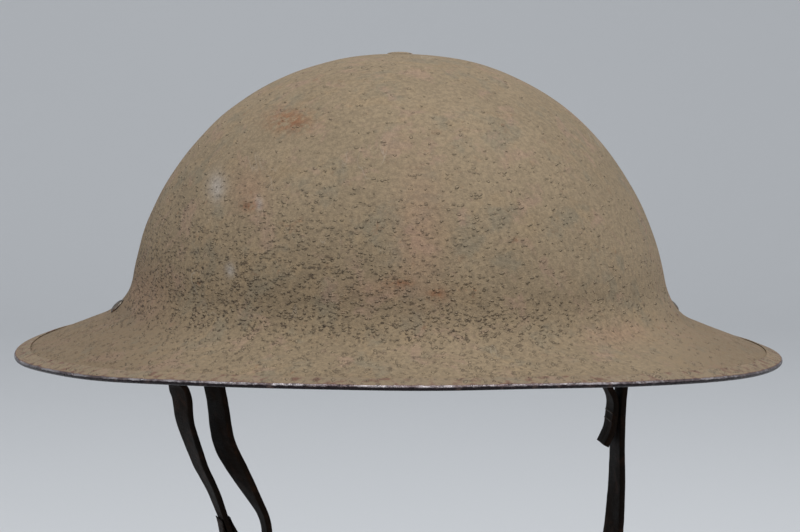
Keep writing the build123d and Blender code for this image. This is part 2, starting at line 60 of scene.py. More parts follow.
# Shell
rim_half_width = 145.0
rim_half_length = 154.5
saddle_rise = 6.0
crown_height = 114.0
bowl_half_width = 101.5
bowl_half_length = 116.5
bowl_base_height = 16.0
brim_corner_height = 18.1
shell_wall = 0.9
fullness_share = 0.904
flatness_share = 1.088
last_tilt = math.radians(80)
flare_room_share = 0.6
crown_hole_radius = 2.1
dent_depth = 0.42
rim_wave = 0.45
shell_columns = 384
dome_rows, flare_rows, brim_rows, inner_rows = 96, 26, 32, 58

# Folded band on the rim
band_wall = 0.5
band_reach = 5.5
band_clearance = 0.05
band_seam = 0.8
band_sections = 721
rim_inset = shell_wall / 2 + band_clearance + band_wall

# Liner
liner_half_width = 84.5
liner_half_length = 99.5
liner_wall = 1.6
liner_bottom = 20.0
liner_top = 53.0
layer_gap = 0.2
felt_wall = 2.0
felt_bottom = 22.0
felt_top = 44.5
headband_wall = 1.2
headband_bottom = 16.0
headband_top = 62.0
felt_inset = liner_wall + layer_gap
headband_inset = felt_inset + felt_wall + layer_gap
web_width = 28.0
web_wall = 1.2
long_web_depth = 2.8
cross_web_depth = 4.9
web_fold_height = 52.0
web_end_height = 43.0
liner_rivet_height = 48.0
pad_depth = 5.8
pad_wall = 6.0
washer_top = 108.2
washer_wall = 1.0
net_rise = 25.0
net_wall = 1.6
net_pitch = 15.0
twine_radius = 0.85
drawstring_radius = 1.0
drawstring_height = 57.0
cushion_count = 12
cushion_length = 24.0
cushion_height = 36.0
cushion_radius = 5.82
cushion_bore_radius = 2.6
cushion_gap = 0.3
cushion_lip = 0.7

# Lugs and bails, in the plane y = 0
rivet_point = np.array([106.061, 0, 18.42])
rivet_axis = np.array([0.7138, 0, 0.70035])
rivet_run = np.array([0.70035, 0, -0.7138])
rivet_seat = 0.3
lug_depth = 2.7
lug_wall = 1.4
lug_fold_gap = 0.2
lug_width = 14.0
lug_tail_reach = 6.5
lug_eye_reach = 9.5
bail_wire_radius = 1.3
bail_width = 29.0
bail_length = 33.0
bail_corner_radius = 5.0
running_gap = 0.05
pivot = np.array([110.787, 0, 9.748])
bar = np.array([81.947, 0, -6.291])

# Chin strap, in the plane y = 0: places are (x, z)
strap_width = 16.0
strap_wall = 2.2
bend_share = 0.38
tab_route = [(79.98, -34.98), (82.63, -29.23), (83.95, -17.31), (79.45, -9.6)]
eye_centre = (83.25, -7.38)
eye_radius = 4.4
main_route = [
    (87.61, -7.96), (86.34, -17.57), (84.2, -36.77), (83.18, -68.16), (77.85, -104.0), (61.79, -133.92),
    (35.89, -155.04), (4.02, -160.96), (-23.93, -148.96), (-35.16, -136.54), (-52.96, -87.26),
    (-48.5, -66.0), (-66.6, -34.0), (-68.6, -18.08), (-70.61, -7.91),
]
loop_centre = (-77.96, -8.78)
loop_radius = 7.4
loop_end = (-84.92, -11.3)
strand_run = np.array([0.339729, 0, -0.940523])
strand_side = np.array([0.940523, 0, 0.339729])
buckle_run = 105.0
strand_length = 89.9
chape_length = 51.0
chape_width = 15.0
chape_wall = 1.6
chape_centre = 2.05
chape_play = 0.25
chape_skive = 9.0
buckle_wire_radius = 1.2
buckle_half_length = 6.5
buckle_corner_radius = 2.4
rail_half_span = 9.7
frame_offset = 6.85
chape_rivet_run = 5.0
left_twist = math.radians(-23.5)
inner_twist = math.radians(12)
right_twist = math.radians(-12)
twist_reach = 80.0
loop_lap = 25.0
stitch_length = 1.9
stitch_radius = 0.36
stitch_pitch = 2.8
stitch_row_gap = 3.2


def smooth(share):
    """Eased step: 3t^2 - 2t^3 between 0 and 1."""
    share = np.clip(share, 0, 1)
    return share * share * (3 - 2 * share)


def wander(points, size, seed, layers=4):
    """Smooth random field, about -1 to 1: sine waves in random directions, their lengths from size down
    by a third from layer to layer."""
    waves, shorter, weaker = 5, 0.67, 0.75
    draw = np.random.default_rng(seed)
    total = np.zeros(points.shape[:-1])
    weight = 0
    for layer in range(layers):
        for _ in range(waves):
            way = draw.normal(size=3)
            way *= 2 * math.pi / (size * shorter**layer * np.linalg.norm(way))
            total += weaker**layer * np.sin(points @ way + draw.uniform(0, 2 * math.pi))
        weight += weaker**layer * waves**0.5
    return total / weight


def unit(vectors):
    """Vectors brought to length one."""
    return vectors / np.linalg.norm(vectors, axis=-1, keepdims=True)


def spoke(turns):
    """Points of the unit circle."""
    return np.stack([np.cos(turns), np.sin(turns)], -1)


def full_circle(steps):
    """Even turns round a circle."""
    return np.arange(steps) / steps * 2 * math.pi


def level(places, height):
    """Flat points at these places, all at one height."""
    return np.stack([places, np.full(len(places), height)], -1)


def distances(path):
    """How far along a path each of its points lies."""
    return np.concatenate([[0], np.cumsum(np.linalg.norm(np.diff(path, axis=0), axis=1))])


def inward_of(profile):
    """Unit vectors square to a profile of (radius, height) that runs down and outwards."""
    slope = unit(np.gradient(profile, axis=0))
    return np.stack([slope[..., 1], -slope[..., 0]], -1)


class Surface:
    """Points in millimetres, faces as lists of point numbers, and values that the points carry."""

    def __init__(self, points, faces, **values):
        self.points = np.asarray(points, float).reshape(-1, 3)
        self.faces = faces
        self.values = {key: np.ravel(value) for key, value in values.items()}


def joined(surfaces):
    """Several surfaces as one."""
    faces, start = [], 0
    for surface in surfaces:
        faces += [[start + corner for corner in face] for face in surface.faces]
        start += len(surface.points)
    keys = surfaces[0].values
    values = {key: np.concatenate([surface.values[key] for surface in surfaces]) for key in keys}
    return Surface(np.vstack([surface.points for surface in surfaces]), faces, **values)


def mirrored(surface):
    """The same surface on the other side of the plane x = 0, its faces turned back outwards."""
    faces = [face[::-1] for face in surface.faces]
    return Surface(surface.points * (-1, 1, 1), faces, **surface.values)


def grid_faces(rows, columns, close_rows=False, close_columns=False):
    """Quads of a grid of points numbered row by row, closed round either way."""
    row = np.arange(rows if close_rows else rows - 1)[:, None]
    column = np.arange(columns if close_columns else columns - 1)[None, :]
    next_row, next_column = (row + 1) % rows, (column + 1) % columns
    corners = [row * columns + column, row * columns + next_column]
    corners += [next_row * columns + next_column, next_row * columns + column]
    return np.stack(corners, -1).reshape(-1, 4).tolist()


def fan(ring, tip):
    """Triangles from a ring of point numbers to a tip."""
    return np.stack([ring, np.roll(ring, -1), np.full(len(ring), tip)], -1).tolist()


def capped(points, faces, count):
    """Rings of count points with both ends closed by a fan. The two tips come last."""
    total = len(points)
    ends = fan(np.arange(count)[::-1], total) + fan(np.arange(total - count, total), total + 1)
    return np.vstack([points, points[:count].mean(0), points[-count:].mean(0)]), faces + ends


def rounded_oblong(width, wall, corner, steps, across):
    """Outline of a strip's section: an oblong with rounded corners, and points along its flat faces."""
    half, edge = width / 2 - corner, wall / 2 - corner
    turns = np.linspace(0, quarter, steps)
    flat = level(np.linspace(-half, half, across)[-2:0:-1], wall / 2)
    right, left = (half, edge) + corner * spoke(turns), (-half, edge) + corner * spoke(turns + quarter)
    upper = np.vstack([right, flat, left])
    return np.vstack([upper, -upper])


def circle(radius, steps):
    """Outline of a round wire."""
    return radius * spoke(full_circle(steps))


def spaced(path, step):
    """Points an even step apart along a path."""
    reach = distances(path)
    keep = np.concatenate([[True], np.diff(reach) > 1e-9])
    stations = np.linspace(0, reach[-1], max(3, round(reach[-1] / step) + 1))
    return np.stack([np.interp(stations, reach[keep], axis[keep]) for axis in path.T], -1)


def route(points, corner_radii, step=1.0):
    """Flat route with rounded corners: straight runs and arcs that touch them, as points a step apart."""
    points = [np.asarray(point, float) for point in points]
    path = [points[0]]
    for before, corner, after, radius in zip(points, points[1:], points[2:], corner_radii):
        come, go = unit(corner - before), unit(after - corner)
        turn = math.acos(np.clip(come @ go, -1, 1))
        reach = radius * math.tan(turn / 2)
        start, side = corner - come * reach, unit(go - come * (come @ go))
        angles = np.linspace(0, turn, max(3, int(radius * turn / step) + 2))[:, None]
        path += list(start + radius * (np.sin(angles) * come + (1 - np.cos(angles)) * side))
    path.append(points[-1])
    return spaced(np.array(path), step)


def share_radii(points):
    """Radius at each corner of the strap's route: a share of its shorter run over tan of half its turn."""
    radii = []
    for before, corner, after in zip(points, points[1:], points[2:]):
        come, go = np.subtract(corner, before), np.subtract(after, corner)
        turn = math.acos(unit(come) @ unit(go))
        radii.append(bend_share * min(np.linalg.norm(come), np.linalg.norm(go)) / math.tan(turn / 2))
    return radii


def upright(path):
    """Places (x, z) as points of the plane y = 0."""
    path = np.asarray(path, float)
    return np.stack([path[..., 0], np.zeros(path.shape[:-1]), path[..., 1]], -1)


def arc(centre, radius, start, end, through):
    """Arc in the plane y = 0 round a centre, from the side of start to that of end, by way of through."""
    step = 0.5
    angles = [math.atan2(*np.subtract(place, centre)[::-1]) for place in (start, through, end)]
    sweep = (angles[2] - angles[0]) % (2 * math.pi)
    if (angles[1] - angles[0]) % (2 * math.pi) > sweep:
        sweep -= 2 * math.pi
    turns = angles[0] + np.linspace(0, sweep, int(abs(sweep) * radius / step) + 2)
    return np.asarray(centre) + radius * spoke(turns)


def carried(path, side, profile, closed=False, twist=None):
    """Profile carried along a flat path. A point is path + u side' + v out', where out is square to the
    path and to side, and side' and out' are these two turned about the path by the twist. Caps close the
    ends of an open path. The points carry u, v and their distance along."""
    if closed:
        run = unit(np.roll(path, -1, 0) - np.roll(path, 1, 0))
    else:
        run = unit(np.gradient(path, axis=0))
    out = unit(np.cross(run, side))
    side = unit(np.cross(out, run))
    if twist is not None:
        cosine, sine = np.cos(twist)[:, None], np.sin(twist)[:, None]
        side, out = side * cosine + out * sine, out * cosine - side * sine
    sections = np.broadcast_to(profile, (len(path),) + profile.shape[-2:])
    u, v = sections[..., 0], sections[..., 1]
    points = path[:, None] + u[..., None] * side[:, None] + v[..., None] * out[:, None]
    count = points.shape[1]
    faces = grid_faces(len(path), count, close_rows=closed, close_columns=True)
    along = distances(path)
    values = {"u": u.ravel(), "v": v.ravel(), "along": np.repeat(along, count)}
    points = points.reshape(-1, 3)
    if not closed:
        points, faces = capped(points, faces, count)
        values = {key: np.append(value, [0, 0]) for key, value in values.items()}
        values["along"][-1] = along[-1]
    return Surface(points, faces, **values)


def turned(profile, origin=(0, 0, 0), axis=(0, 0, 1), steps=48, wobble=0.0, seed=1):
    """Profile of (radius, height) turned about an axis. A radius of 0 at an end closes it there, and a
    profile that ends off the axis is closed back to its start."""
    profile = np.asarray(profile, float)
    poles = [profile[0, 0] == 0, profile[-1, 0] == 0]
    ring = profile[int(poles[0]):len(profile) - int(poles[1])]
    axis = unit(np.asarray(axis, float))
    first = unit(np.cross(axis, (0, 1, 0) if abs(axis[1]) < 0.9 else (1, 0, 0)))
    turns = full_circle(steps)
    spokes = np.cos(turns)[:, None] * first + np.sin(turns)[:, None] * np.cross(axis, first)
    points = ring[:, None, :1] * spokes + ring[:, None, 1:] * axis
    if wobble:
        points = points + wobble * wander(points, 6, seed)[..., None] * spokes
    points = (points + origin).reshape(-1, 3)
    faces = grid_faces(len(ring), steps, close_rows=not any(poles), close_columns=True)
    total = len(points)
    rims = (np.arange(steps)[::-1], np.arange(total - steps, total))
    for pole, end, rim in zip(poles, (0, -1), rims):
        if pole:
            faces += fan(rim, len(points))
            points = np.vstack([points, origin + profile[end, 1] * axis])
    return Surface(points, faces)


def new_mesh(name, points, faces, material):
    """Smooth shaded mesh with its material."""
    mesh = bpy.data.meshes.new(name)
    mesh.from_pydata(points.tolist(), [], faces)
    mesh.polygons.foreach_set("use_smooth", np.ones(len(mesh.polygons), bool))
    mesh.materials.append(material)
    mesh.update()
    return mesh


def add_object(name, data):
    """Object of a mesh, lamp or camera, put into the scene."""
    new = bpy.data.objects.new(name, data)
    bpy.context.scene.collection.objects.link(new)
    return new


def add_piece(name, surface, slot, node, body="root", material=None):
    """Mesh of one piece in the place of its node, riding on its body: its values as attributes, its faces
    turned outwards, and its slot's finish unless a material is given."""
    mesh = new_mesh(name, surface.points * MM, surface.faces, material or finishes[slot])
    for key, values in surface.values.items():
        mesh.attributes.new(key, "FLOAT", "POINT").data.foreach_set("value", values.astype(np.float32))
    work = bmesh.new()
    work.from_mesh(mesh)
    bmesh.ops.recalc_face_normals(work, faces=work.faces)
    work.to_mesh(mesh)
    work.free()
    piece = add_object(name, mesh)
    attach(piece, body)
    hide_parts(node)
    return piece


# Camera
image_width = 800
image_height = 532
camera_distance = 1000.0
focal_pixels = 2619.0
sensor_width = 36.0
elevation = math.radians(6.57)
yaw = math.radians(5.89)
roll = math.radians(-0.45)
origin_pixel = np.array([397.6, 354.4])


def camera_axes():
    """Rows: the camera's right, up and back in the object's axes. The object is turned by yaw about +Z,
    then by roll about the line of sight, and the camera looks down by its elevation."""
    turn = np.array(Matrix.Rotation(-roll, 3, "Y") @ Matrix.Rotation(yaw, 3, "Z"))
    sine, cosine = math.sin(elevation), math.cos(elevation)
    return np.array([[1, 0, 0], [0, sine, cosine], [0, -cosine, sine]]) @ turn


def seen_at(points):
    """Pixels of the photograph at which points in millimetres are seen."""
    local = points @ camera_axes().T
    depth = camera_distance - local[..., 2]
    x_part = origin_pixel[0] + focal_pixels * local[..., 0] / depth
    y_part = origin_pixel[1] - focal_pixels * local[..., 1] / depth
    return np.stack([x_part, y_part], -1)


def add_camera():
    """Camera at the photograph's viewing angle."""
    data = bpy.data.cameras.new("camera")
    data.sensor_width = sensor_width
    data.lens = focal_pixels * sensor_width / image_width
    data.shift_x = (image_width / 2 - origin_pixel[0]) / image_width
    data.shift_y = (origin_pixel[1] - image_height / 2) / image_width
    data.clip_end = 20
    axes = camera_axes()
    place = Matrix(axes.T.tolist()).to_4x4()
    place.translation = axes[2] * camera_distance * MM
    camera = add_object("camera", data)
    camera.matrix_world = place
    bpy.context.scene.camera = camera


# Shader nodes
class Value:
    """The value of a socket, which can be reckoned with."""

    def __init__(self, nodes, socket):
        self.nodes, self.socket = nodes, socket

    def math(self, operation, other=0.0):
        return self.nodes.node("Math", {0: self, 1: other}, operation=operation)

    def __add__(self, other):
        return self.math("ADD", other)

    def __sub__(self, other):
        return self.math("SUBTRACT", other)

    def __rsub__(self, other):
        return self.nodes.node("Math", {0: other, 1: self}, operation="SUBTRACT")

    def __mul__(self, other):
        return self.math("MULTIPLY", other)

    def __abs__(self):
        return self.math("ABSOLUTE")

    def step(self, low, high, start=0.0, end=1.0):
        """Eased ramp from start where the value is low to end where it is high."""
        inputs = {"Value": self, "From Min": low, "From Max": high, "To Min": start, "To Max": end}
        return self.nodes.node("MapRange", inputs, interpolation_type="SMOOTHSTEP")


class Nodes:
    """Writes shader nodes into a tree. The end's sockets take the outcome, and the result is the material
    or the node group that is handed back."""

    def __init__(self, tree, end, result):
        self.tree, self.end, self.result = tree, end, result

    def fill(self, sockets, values):
        """Gives sockets their numbers, colours or values."""
        for key, value in values.items():
            socket = sockets[key]
            if isinstance(value, Value):
                self.tree.links.new(value.socket, socket)
            else:
                socket.default_value = (*value, 1.0) if socket.type == "RGBA" else value

    def done(self, values):
        self.fill(self.end, values)
        return self.result

    def node(self, kind, inputs, out=0, **settings):
        new = self.tree.nodes.new("ShaderNode" + kind)
        for key, value in settings.items():
            setattr(new, key, value)
        self.fill(new.inputs, inputs)
        return Value(self, new.outputs[out])

    def group(self, group, **inputs):
        new = self.tree.nodes.new("ShaderNodeGroup")
        new.node_tree = group
        self.fill(new.inputs, inputs)
        return {socket.name: Value(self, socket) for socket in new.outputs}

    def carried_value(self, name):
        return self.node("Attribute", {}, "Fac", attribute_name=name)

    def stretched(self, vector, scale):
        return self.node("Mapping", {"Vector": vector, "Scale": scale})

    def moved(self, vector, by):
        return self.node("VectorMath", {0: vector, 1: by}, operation="ADD")

    def noise(self, vector, scale, detail=2.0, rough=0.5, distortion=0.0):
        inputs = {"Vector": vector, "Scale": scale, "Detail": detail, "Roughness": rough}
        return self.node("TexNoise", {**inputs, "Distortion": distortion}, "Fac")

    def cells(self, vector, scale, **settings):
        return self.node("TexVoronoi", {"Vector": vector, "Scale": scale}, "Distance", **settings)

    def blend(self, share, low, high, mode="MIX"):
        inputs = {0: share, 6: low, 7: high}
        return self.node("Mix", inputs, 2, data_type="RGBA", blend_type=mode)

    def coats(self, colour, *coats):
        """Lays coats over a colour, each given as (where, how strongly, its colour)."""
        for where, strength, coat in coats:
            colour = self.blend(where * strength, colour, coat)
        return colour

    def mottled(self, place, scale, dark, light):
        """Slow clouds and patches of tone, and the two colours blended by the clouds."""
        tones = self.group(mottle, Vector=place, Scale=scale)
        return tones["Cloud"], tones["Patch"], self.blend(tones["Cloud"], dark, light)

    def bump(self, height, distance, strength=1.0, **normal):
        return self.node("Bump", {"Height": height, "Distance": distance, "Strength": strength, **normal})


def scaled(colour, share):
    """A colour made darker or lighter by a share."""
    return tuple(share * part for part in colour)


def new_group(name, inputs, outputs):
    """Empty shader node group, as its nodes and its inputs' values. An input of None is a vector."""
    tree = bpy.data.node_groups.new(name, "ShaderNodeTree")
    for label, value in inputs.items():
        kind = "Vector" if value is None else "Float"
        socket = tree.interface.new_socket(label, in_out="INPUT", socket_type="NodeSocket" + kind)
        if value is not None:
            socket.default_value = value
    for label in outputs:
        kind = {"Color": "Color", "Normal": "Vector"}.get(label, "Float")
        tree.interface.new_socket(label, in_out="OUTPUT", socket_type="NodeSocket" + kind)
    start = tree.nodes.new("NodeGroupInput").outputs
    nodes = Nodes(tree, tree.nodes.new("NodeGroupOutput").inputs, tree)
    return nodes, {label: Value(nodes, start[label]) for label in inputs}


def new_finish(name):
    """Material with an empty Principled shader, as its nodes and the place on the object."""
    material = bpy.data.materials.new(name)
    material.use_nodes = True
    tree = material.node_tree
    nodes = Nodes(tree, tree.nodes["Principled BSDF"].inputs, material)
    return nodes, nodes.node("TexCoord", {}, "Object")


def grain_group():
    """Grains on a surface: lumps in a share of the cells of a bent cell pattern, painted shade in the
    crescent below each as if lit from above, streaks where a noise drawn out sideways is high, and
    specks where a fine noise is highest. Coarse says how many of the cells have a grain."""
    outputs = ["Height", "Painted_Shade_Below", "Streaks", "Crumbs_And_Highlight", "Specks"]
    nodes, given = new_group("grain", {"Vector": None, "Scale": 900.0, "Coarse": 0.5}, outputs)
    place, scale = given["Vector"], given["Scale"]
    fine = nodes.noise(place, scale * 1.7, 2, 0.6)
    bent = nodes.noise(place, scale * 0.5, 2, 0.5)
    flat = nodes.moved(nodes.stretched(place, (1, 0.55, 1.8)), bent * 0.0022)
    lumps = []
    for lift in (0.0, 0.0008):
        away = nodes.cells(nodes.moved(flat, (0, 0, lift)), scale * 0.6)
        cell_tint = Value(nodes, away.socket.node.outputs["Color"])
        draw, size = (nodes.node("SeparateColor", {0: cell_tint}, channel) for channel in (0, 1))
        chosen = (draw + given["Coarse"]).step(0.92, 1.04)
        lumps.append((away + size * 0.28).step(0.66, 0.22) * chosen)
    # Painted shade: the lump 0.8 mm higher up, less the lump here, darkens a crescent below each grain.
    under = (lumps[1] - lumps[0]).math("MAXIMUM")
    cluster = nodes.noise(place, scale * 0.1, 3, 0.6).step(0.34, 0.64, 0.45)
    return nodes.done({
        "Height": fine * 0.35 + lumps[0],
        "Painted_Shade_Below": under * cluster,
        "Streaks": nodes.noise(flat, scale * 0.42, 4, 0.68).step(0.56, 0.65),
        "Crumbs_And_Highlight": lumps[0],
        "Specks": fine.step(0.69, 0.76),
    })


def mottle_group():
    """Slow patches of tone, from 0 to 1."""
    nodes, given = new_group("mottle", {"Vector": None, "Scale": 20.0}, ["Patch", "Cloud"])
    cloud = nodes.noise(given["Vector"], given["Scale"], 6, 0.62, 0.3)
    patch = nodes.noise(given["Vector"], given["Scale"] * 2.3, 5, 0.65, 0.8)
    return nodes.done({"Cloud": cloud.step(0.3, 0.7), "Patch": patch.step(0.5, 0.66)})


def scuff_group():
    """Thin scratches: narrow bands of a noise that is drawn out along one way."""
    nodes, given = new_group("scuffs", {"Vector": None, "Scale": 60.0, "Amount": 0.5}, ["Mask"])
    drawn = nodes.stretched(given["Vector"], (1, 0.15, 0.35))
    lines = abs(nodes.noise(drawn, given["Scale"], 3, 0.5, 0.6) - 0.5).step(0.006, 0.0)
    where = nodes.noise(given["Vector"], 45.0, 2).step(0.56, 0.7)
    return nodes.done({"Mask": lines * where * given["Amount"]})


def weave_group():
    """Plain weave from two crossing rows of threads, by distance across and along in millimetres: half
    the sum of both rows' |sin(2 pi d / pitch)|, and 0.3 sin(pi (across + along) / pitch)."""
    inputs = {"Across": 0.0, "Along": 0.0, "Pitch": 0.8}
    nodes, given = new_group("weave", inputs, ["Height", "Gap_Shade"])
    across, along = (given[way].math("DIVIDE", given["Pitch"]) for way in ("Across", "Along"))
    warp, weft = (abs((way * (2 * math.pi)).math("SINE")) for way in (across, along))
    over = ((across + along) * math.pi).math("SINE")
    height = (warp + weft) * 0.5 + over * 0.3
    return nodes.done({"Height": height, "Gap_Shade": height.step(0.45, 0.1)})


grain = grain_group()
mottle = mottle_group()
scuffs = scuff_group()
weave = weave_group()
paint_marks = ("Low", "Edge", "Rust", "Pink", "Pale", "Inside")


def paint_group():
    """Look of khaki paint with sand in it: clouds of tone, grains coloured lighter as sand and painted
    highlight, painted shade below them, and dark streaks. The inputs say how strongly each mark shows:
    darker, browner and grainier low down with more painted shade, browner at the edge, rust, pink and
    pale spots. The inside of the shell is smoother and browner."""
    inputs = {"Vector": None, **dict.fromkeys(paint_marks, 0.0)}
    nodes, given = new_group("khaki_paint_look", inputs, ["Color", "Roughness", "Normal"])
    place, low = given["Vector"], given["Low"]
    outside = 1 - given["Inside"]
    cloud = nodes.group(mottle, Vector=place, Scale=16.0)["Cloud"]
    patch = nodes.group(mottle, Vector=place, Scale=26.0)["Patch"]
    sand = nodes.group(grain, Vector=place, Scale=1050.0, Coarse=(low * 0.5 + cloud * 0.14) * outside)
    moss = nodes.noise(place, 62.0, 4, 0.6).step(0.52, 0.64)
    clay = nodes.noise(place, 78.0, 5, 0.65, 0.5).step(0.53, 0.66)
    rust = given["Rust"] * nodes.noise(place, 330.0, 5, 0.7).step(0.36, 0.56)
    spots = nodes.noise(place, 190.0, 4, 0.65).step(0.62, 0.69) * (patch * 0.4 + 0.15)
    colour = nodes.coats(
        nodes.blend(cloud, (0.226, 0.172, 0.108), (0.272, 0.207, 0.132)),
        (low, 0.45, (0.226, 0.163, 0.096)),
        (moss, 0.5, (0.186, 0.162, 0.114)),
        (clay, 0.55, (0.302, 0.203, 0.145)),
        (patch, 0.3, (0.292, 0.205, 0.116)),
        (given["Inside"], 0.75, (0.150, 0.118, 0.074)),
        (given["Pink"], 0.45, (0.31, 0.19, 0.125)),
        (given["Pale"], 0.7, (0.38, 0.345, 0.31)),
        (rust, 0.8, (0.205, 0.078, 0.032)),
        (spots, 1, (0.19, 0.085, 0.042)),
    )
    tone = nodes.noise(place, 620.0, 4, 0.7)
    shade = tone.step(0.28, 0.72, 0.78, 1.2)
    colour = nodes.blend(1.0, colour, nodes.node("CombineXYZ", {0: shade, 1: shade, 2: shade}), "MULTIPLY")
    streaks = sand["Streaks"] * outside * (low * 0.85 + 0.08)
    # Painted shade below the grains, stronger low down, together with dark streaks.
    grain_shade_and_streaks = (sand["Painted_Shade_Below"] * (low * 0.6 + 0.16)).math("MAXIMUM", streaks)
    scratches = nodes.group(scuffs, Vector=place, Scale=55.0, Amount=0.4)["Mask"]
    edge = given["Edge"] * tone.step(0.35, 0.6)
    lumps = nodes.bump(nodes.noise(place, 130.0, 3, 0.6), 0.0007, 0.4)
    return nodes.done({
        "Color": nodes.coats(
            colour,
            (grain_shade_and_streaks, 1, (0.040, 0.027, 0.017)),
            # Lumps coloured lighter: lighter sand, and a painted highlight on the grains.
            (sand["Crumbs_And_Highlight"], 0.25, (0.35, 0.275, 0.19)),
            (sand["Specks"], 0.6, (0.46, 0.38, 0.29)),
            (scratches, 1, (0.36, 0.31, 0.25)),
            (edge, 0.65, (0.14, 0.093, 0.056)),
        ),
        "Roughness": tone.step(0.2, 0.8, 0.74, 0.92),
        "Normal": nodes.bump(sand["Height"], 0.0008, Normal=lumps),
    })


paint_look = paint_group()


def paint_finish():
    """Paint of the shell, with the marks that its points carry."""
    nodes, place = new_finish("khaki_paint")
    marks = {label: nodes.carried_value(label.lower()) for label in paint_marks}
    look = nodes.group(paint_look, Vector=place, **marks)
    look["Base Color"] = look.pop("Color")
    return nodes.done({**look, "Specular IOR Level": 0.3})


def band_finish():
    """Folded rim band: khaki paint on its flats, and bare steel on its roll, bright in broken stretches
    above, with painted shade darkening its lower half to near black, and a line of rust where the
    paint ends."""
    nodes, place = new_finish("rim_band_steel")
    look = nodes.group(paint_look, Vector=place, Low=0.45, Edge=0.4)
    wear = nodes.carried_value("wear") + nodes.noise(place, 260.0, 4).step(0.3, 0.7, -0.22, 0.22)
    bare = wear.step(0.45, 0.6)
    fringe = wear.step(0.02, 0.3) * (1 - bare)
    rise = nodes.carried_value("rise") + nodes.noise(place, 480.0, 3).step(0.3, 0.7, -0.12, 0.12)
    shine = nodes.noise(place, 110.0, 5, 0.7).step(0.42, 0.64)
    stain = nodes.noise(place, 170.0, 5, 0.7).step(0.55, 0.66)
    steel = nodes.blend(shine, (0.13, 0.10, 0.105), (0.44, 0.41, 0.42))
    # Painted shade: the lower half of the roll is coloured near black.
    steel = nodes.blend(rise.step(0.38, 0.56), (0.020, 0.015, 0.017), steel)
    steel = nodes.coats(steel, (stain, 0.7, (0.085, 0.045, 0.036)))
    paint = nodes.coats(look["Color"], (fringe, 0.85, (0.125, 0.047, 0.033)))
    return nodes.done({
        "Base Color": nodes.blend(bare, paint, steel),
        "Metallic": bare * (0.9 - stain * 0.6),
        "Roughness": (bare - stain * 0.5).step(0, 1, 0.85, 0.36),
        "Normal": look["Normal"],
    })


def steel_finish(name, dark, light, rust_amount):
    """Old plain steel: dull grey in light and dark clouds, brown and rough with rust in patches."""
    nodes, place = new_finish(name)
    _, patch, colour = nodes.mottled(place, 130.0, dark, light)
    rust = patch * rust_amount
    sand = nodes.group(grain, Vector=place, Scale=1500.0, Coarse=0.4)
    return nodes.done({
        "Base Color": nodes.coats(colour, (rust, 1, (0.13, 0.055, 0.026))),
        "Metallic": 0.9 - rust * 0.7,
        "Roughness": rust.step(0, 1, 0.42, 0.85),
        "Normal": nodes.bump(sand["Height"], 0.00015, 0.6),
    })


def painted_steel_finish():
    """Khaki paint over a rivet's head, worn off in spots, and bare brown steel below the shell."""
    nodes, place = new_finish("painted_rivet_steel")
    look = nodes.group(paint_look, Vector=place, Low=0.2)
    height = nodes.node("SeparateXYZ", {0: place}, 2)
    above = height.step((crown_height - 0.4) * MM, (crown_height - 0.1) * MM)
    painted = above * (1 - nodes.noise(place, 700.0, 4, 0.6).step(0.62, 0.68))
    return nodes.done({
        "Base Color": nodes.blend(painted, (0.10, 0.078, 0.062), look["Color"]),
        "Metallic": 0.85 - painted * 0.85,
        "Roughness": painted.step(0, 1, 0.5, 0.85),
        "Normal": look["Normal"],
    })


def brass_finish():
    """Aged brass: dull, brown in patches, with a green tint in places."""
    nodes, place = new_finish("aged_brass")
    _, patch, colour = nodes.mottled(place, 120.0, (0.34, 0.21, 0.075), (0.52, 0.37, 0.15))
    green = nodes.noise(place, 240.0, 4).step(0.6, 0.7)
    brown_coat, green_coat = (patch, 0.7, (0.12, 0.09, 0.045)), (green, 0.4, (0.11, 0.17, 0.10))
    return nodes.done({
        "Base Color": nodes.coats(colour, brown_coat, green_coat),
        "Metallic": patch.step(0, 1, 0.95, 0.6),
        "Roughness": patch.step(0, 1, 0.36, 0.7),
        "Normal": nodes.bump(nodes.noise(place, 1400.0, 3), 0.00008, 0.5),
    })


def leather_finish(name, dark, light, worn, roughness):
    """Old leather: fine pores, creases and dark cracks that run across it, rubbed lighter in patches."""
    nodes, place = new_finish(name)
    skin = {axis: nodes.carried_value(key) * MM for axis, key in enumerate(("u", "along", "v"))}
    skin = nodes.node("CombineXYZ", skin)
    pores = nodes.cells(skin, 900.0)
    crease = nodes.noise(nodes.stretched(skin, (0.35, 1.6, 1)), 420.0, 4, 0.6, 0.5)
    cracks = abs(crease - 0.5).step(0.03, 0.0)
    cloud, patch, colour = nodes.mottled(place, 60.0, dark, light)
    return nodes.done({
        "Base Color": nodes.coats(colour, (patch, 0.55, worn), (cracks, 0.6, (0.012, 0.008, 0.006))),
        "Roughness": cloud.step(0, 1, roughness - 0.08, roughness + 0.1),
        "Specular IOR Level": 0.06,
        "Normal": nodes.bump(pores * 0.6 - cracks * 0.8, 0.00022, 0.7),
    })


def cloth_finish(name, dark, light, pitch, roughness=0.92):
    """Woven cloth by its distance across and along: threads with painted shade in the gaps between them,
    soiled patches, a little fuzz.
    """
    nodes, place = new_finish(name)
    across, along = nodes.carried_value("u"), nodes.carried_value("along")
    threads = nodes.group(weave, Across=across, Along=along, Pitch=pitch)
    _, patch, colour = nodes.mottled(place, 30.0, dark, light)
    fuzz = nodes.noise(place, 2600.0, 3)
    return nodes.done({
        "Base Color": nodes.coats(
            colour,
            (patch, 0.35, scaled(dark, 0.45)),
            # Painted shade: darker where the weave is low, between the threads.
            (threads["Gap_Shade"], 0.6, scaled(dark, 0.3)),
            (fuzz.step(0.55, 0.8), 0.3, scaled(light, 1.5)),
        ),
        "Roughness": roughness,
        "Sheen Weight": 0.2,
        "Normal": nodes.bump(threads["Height"] + fuzz * 0.4, 0.0003, 0.8),
    })


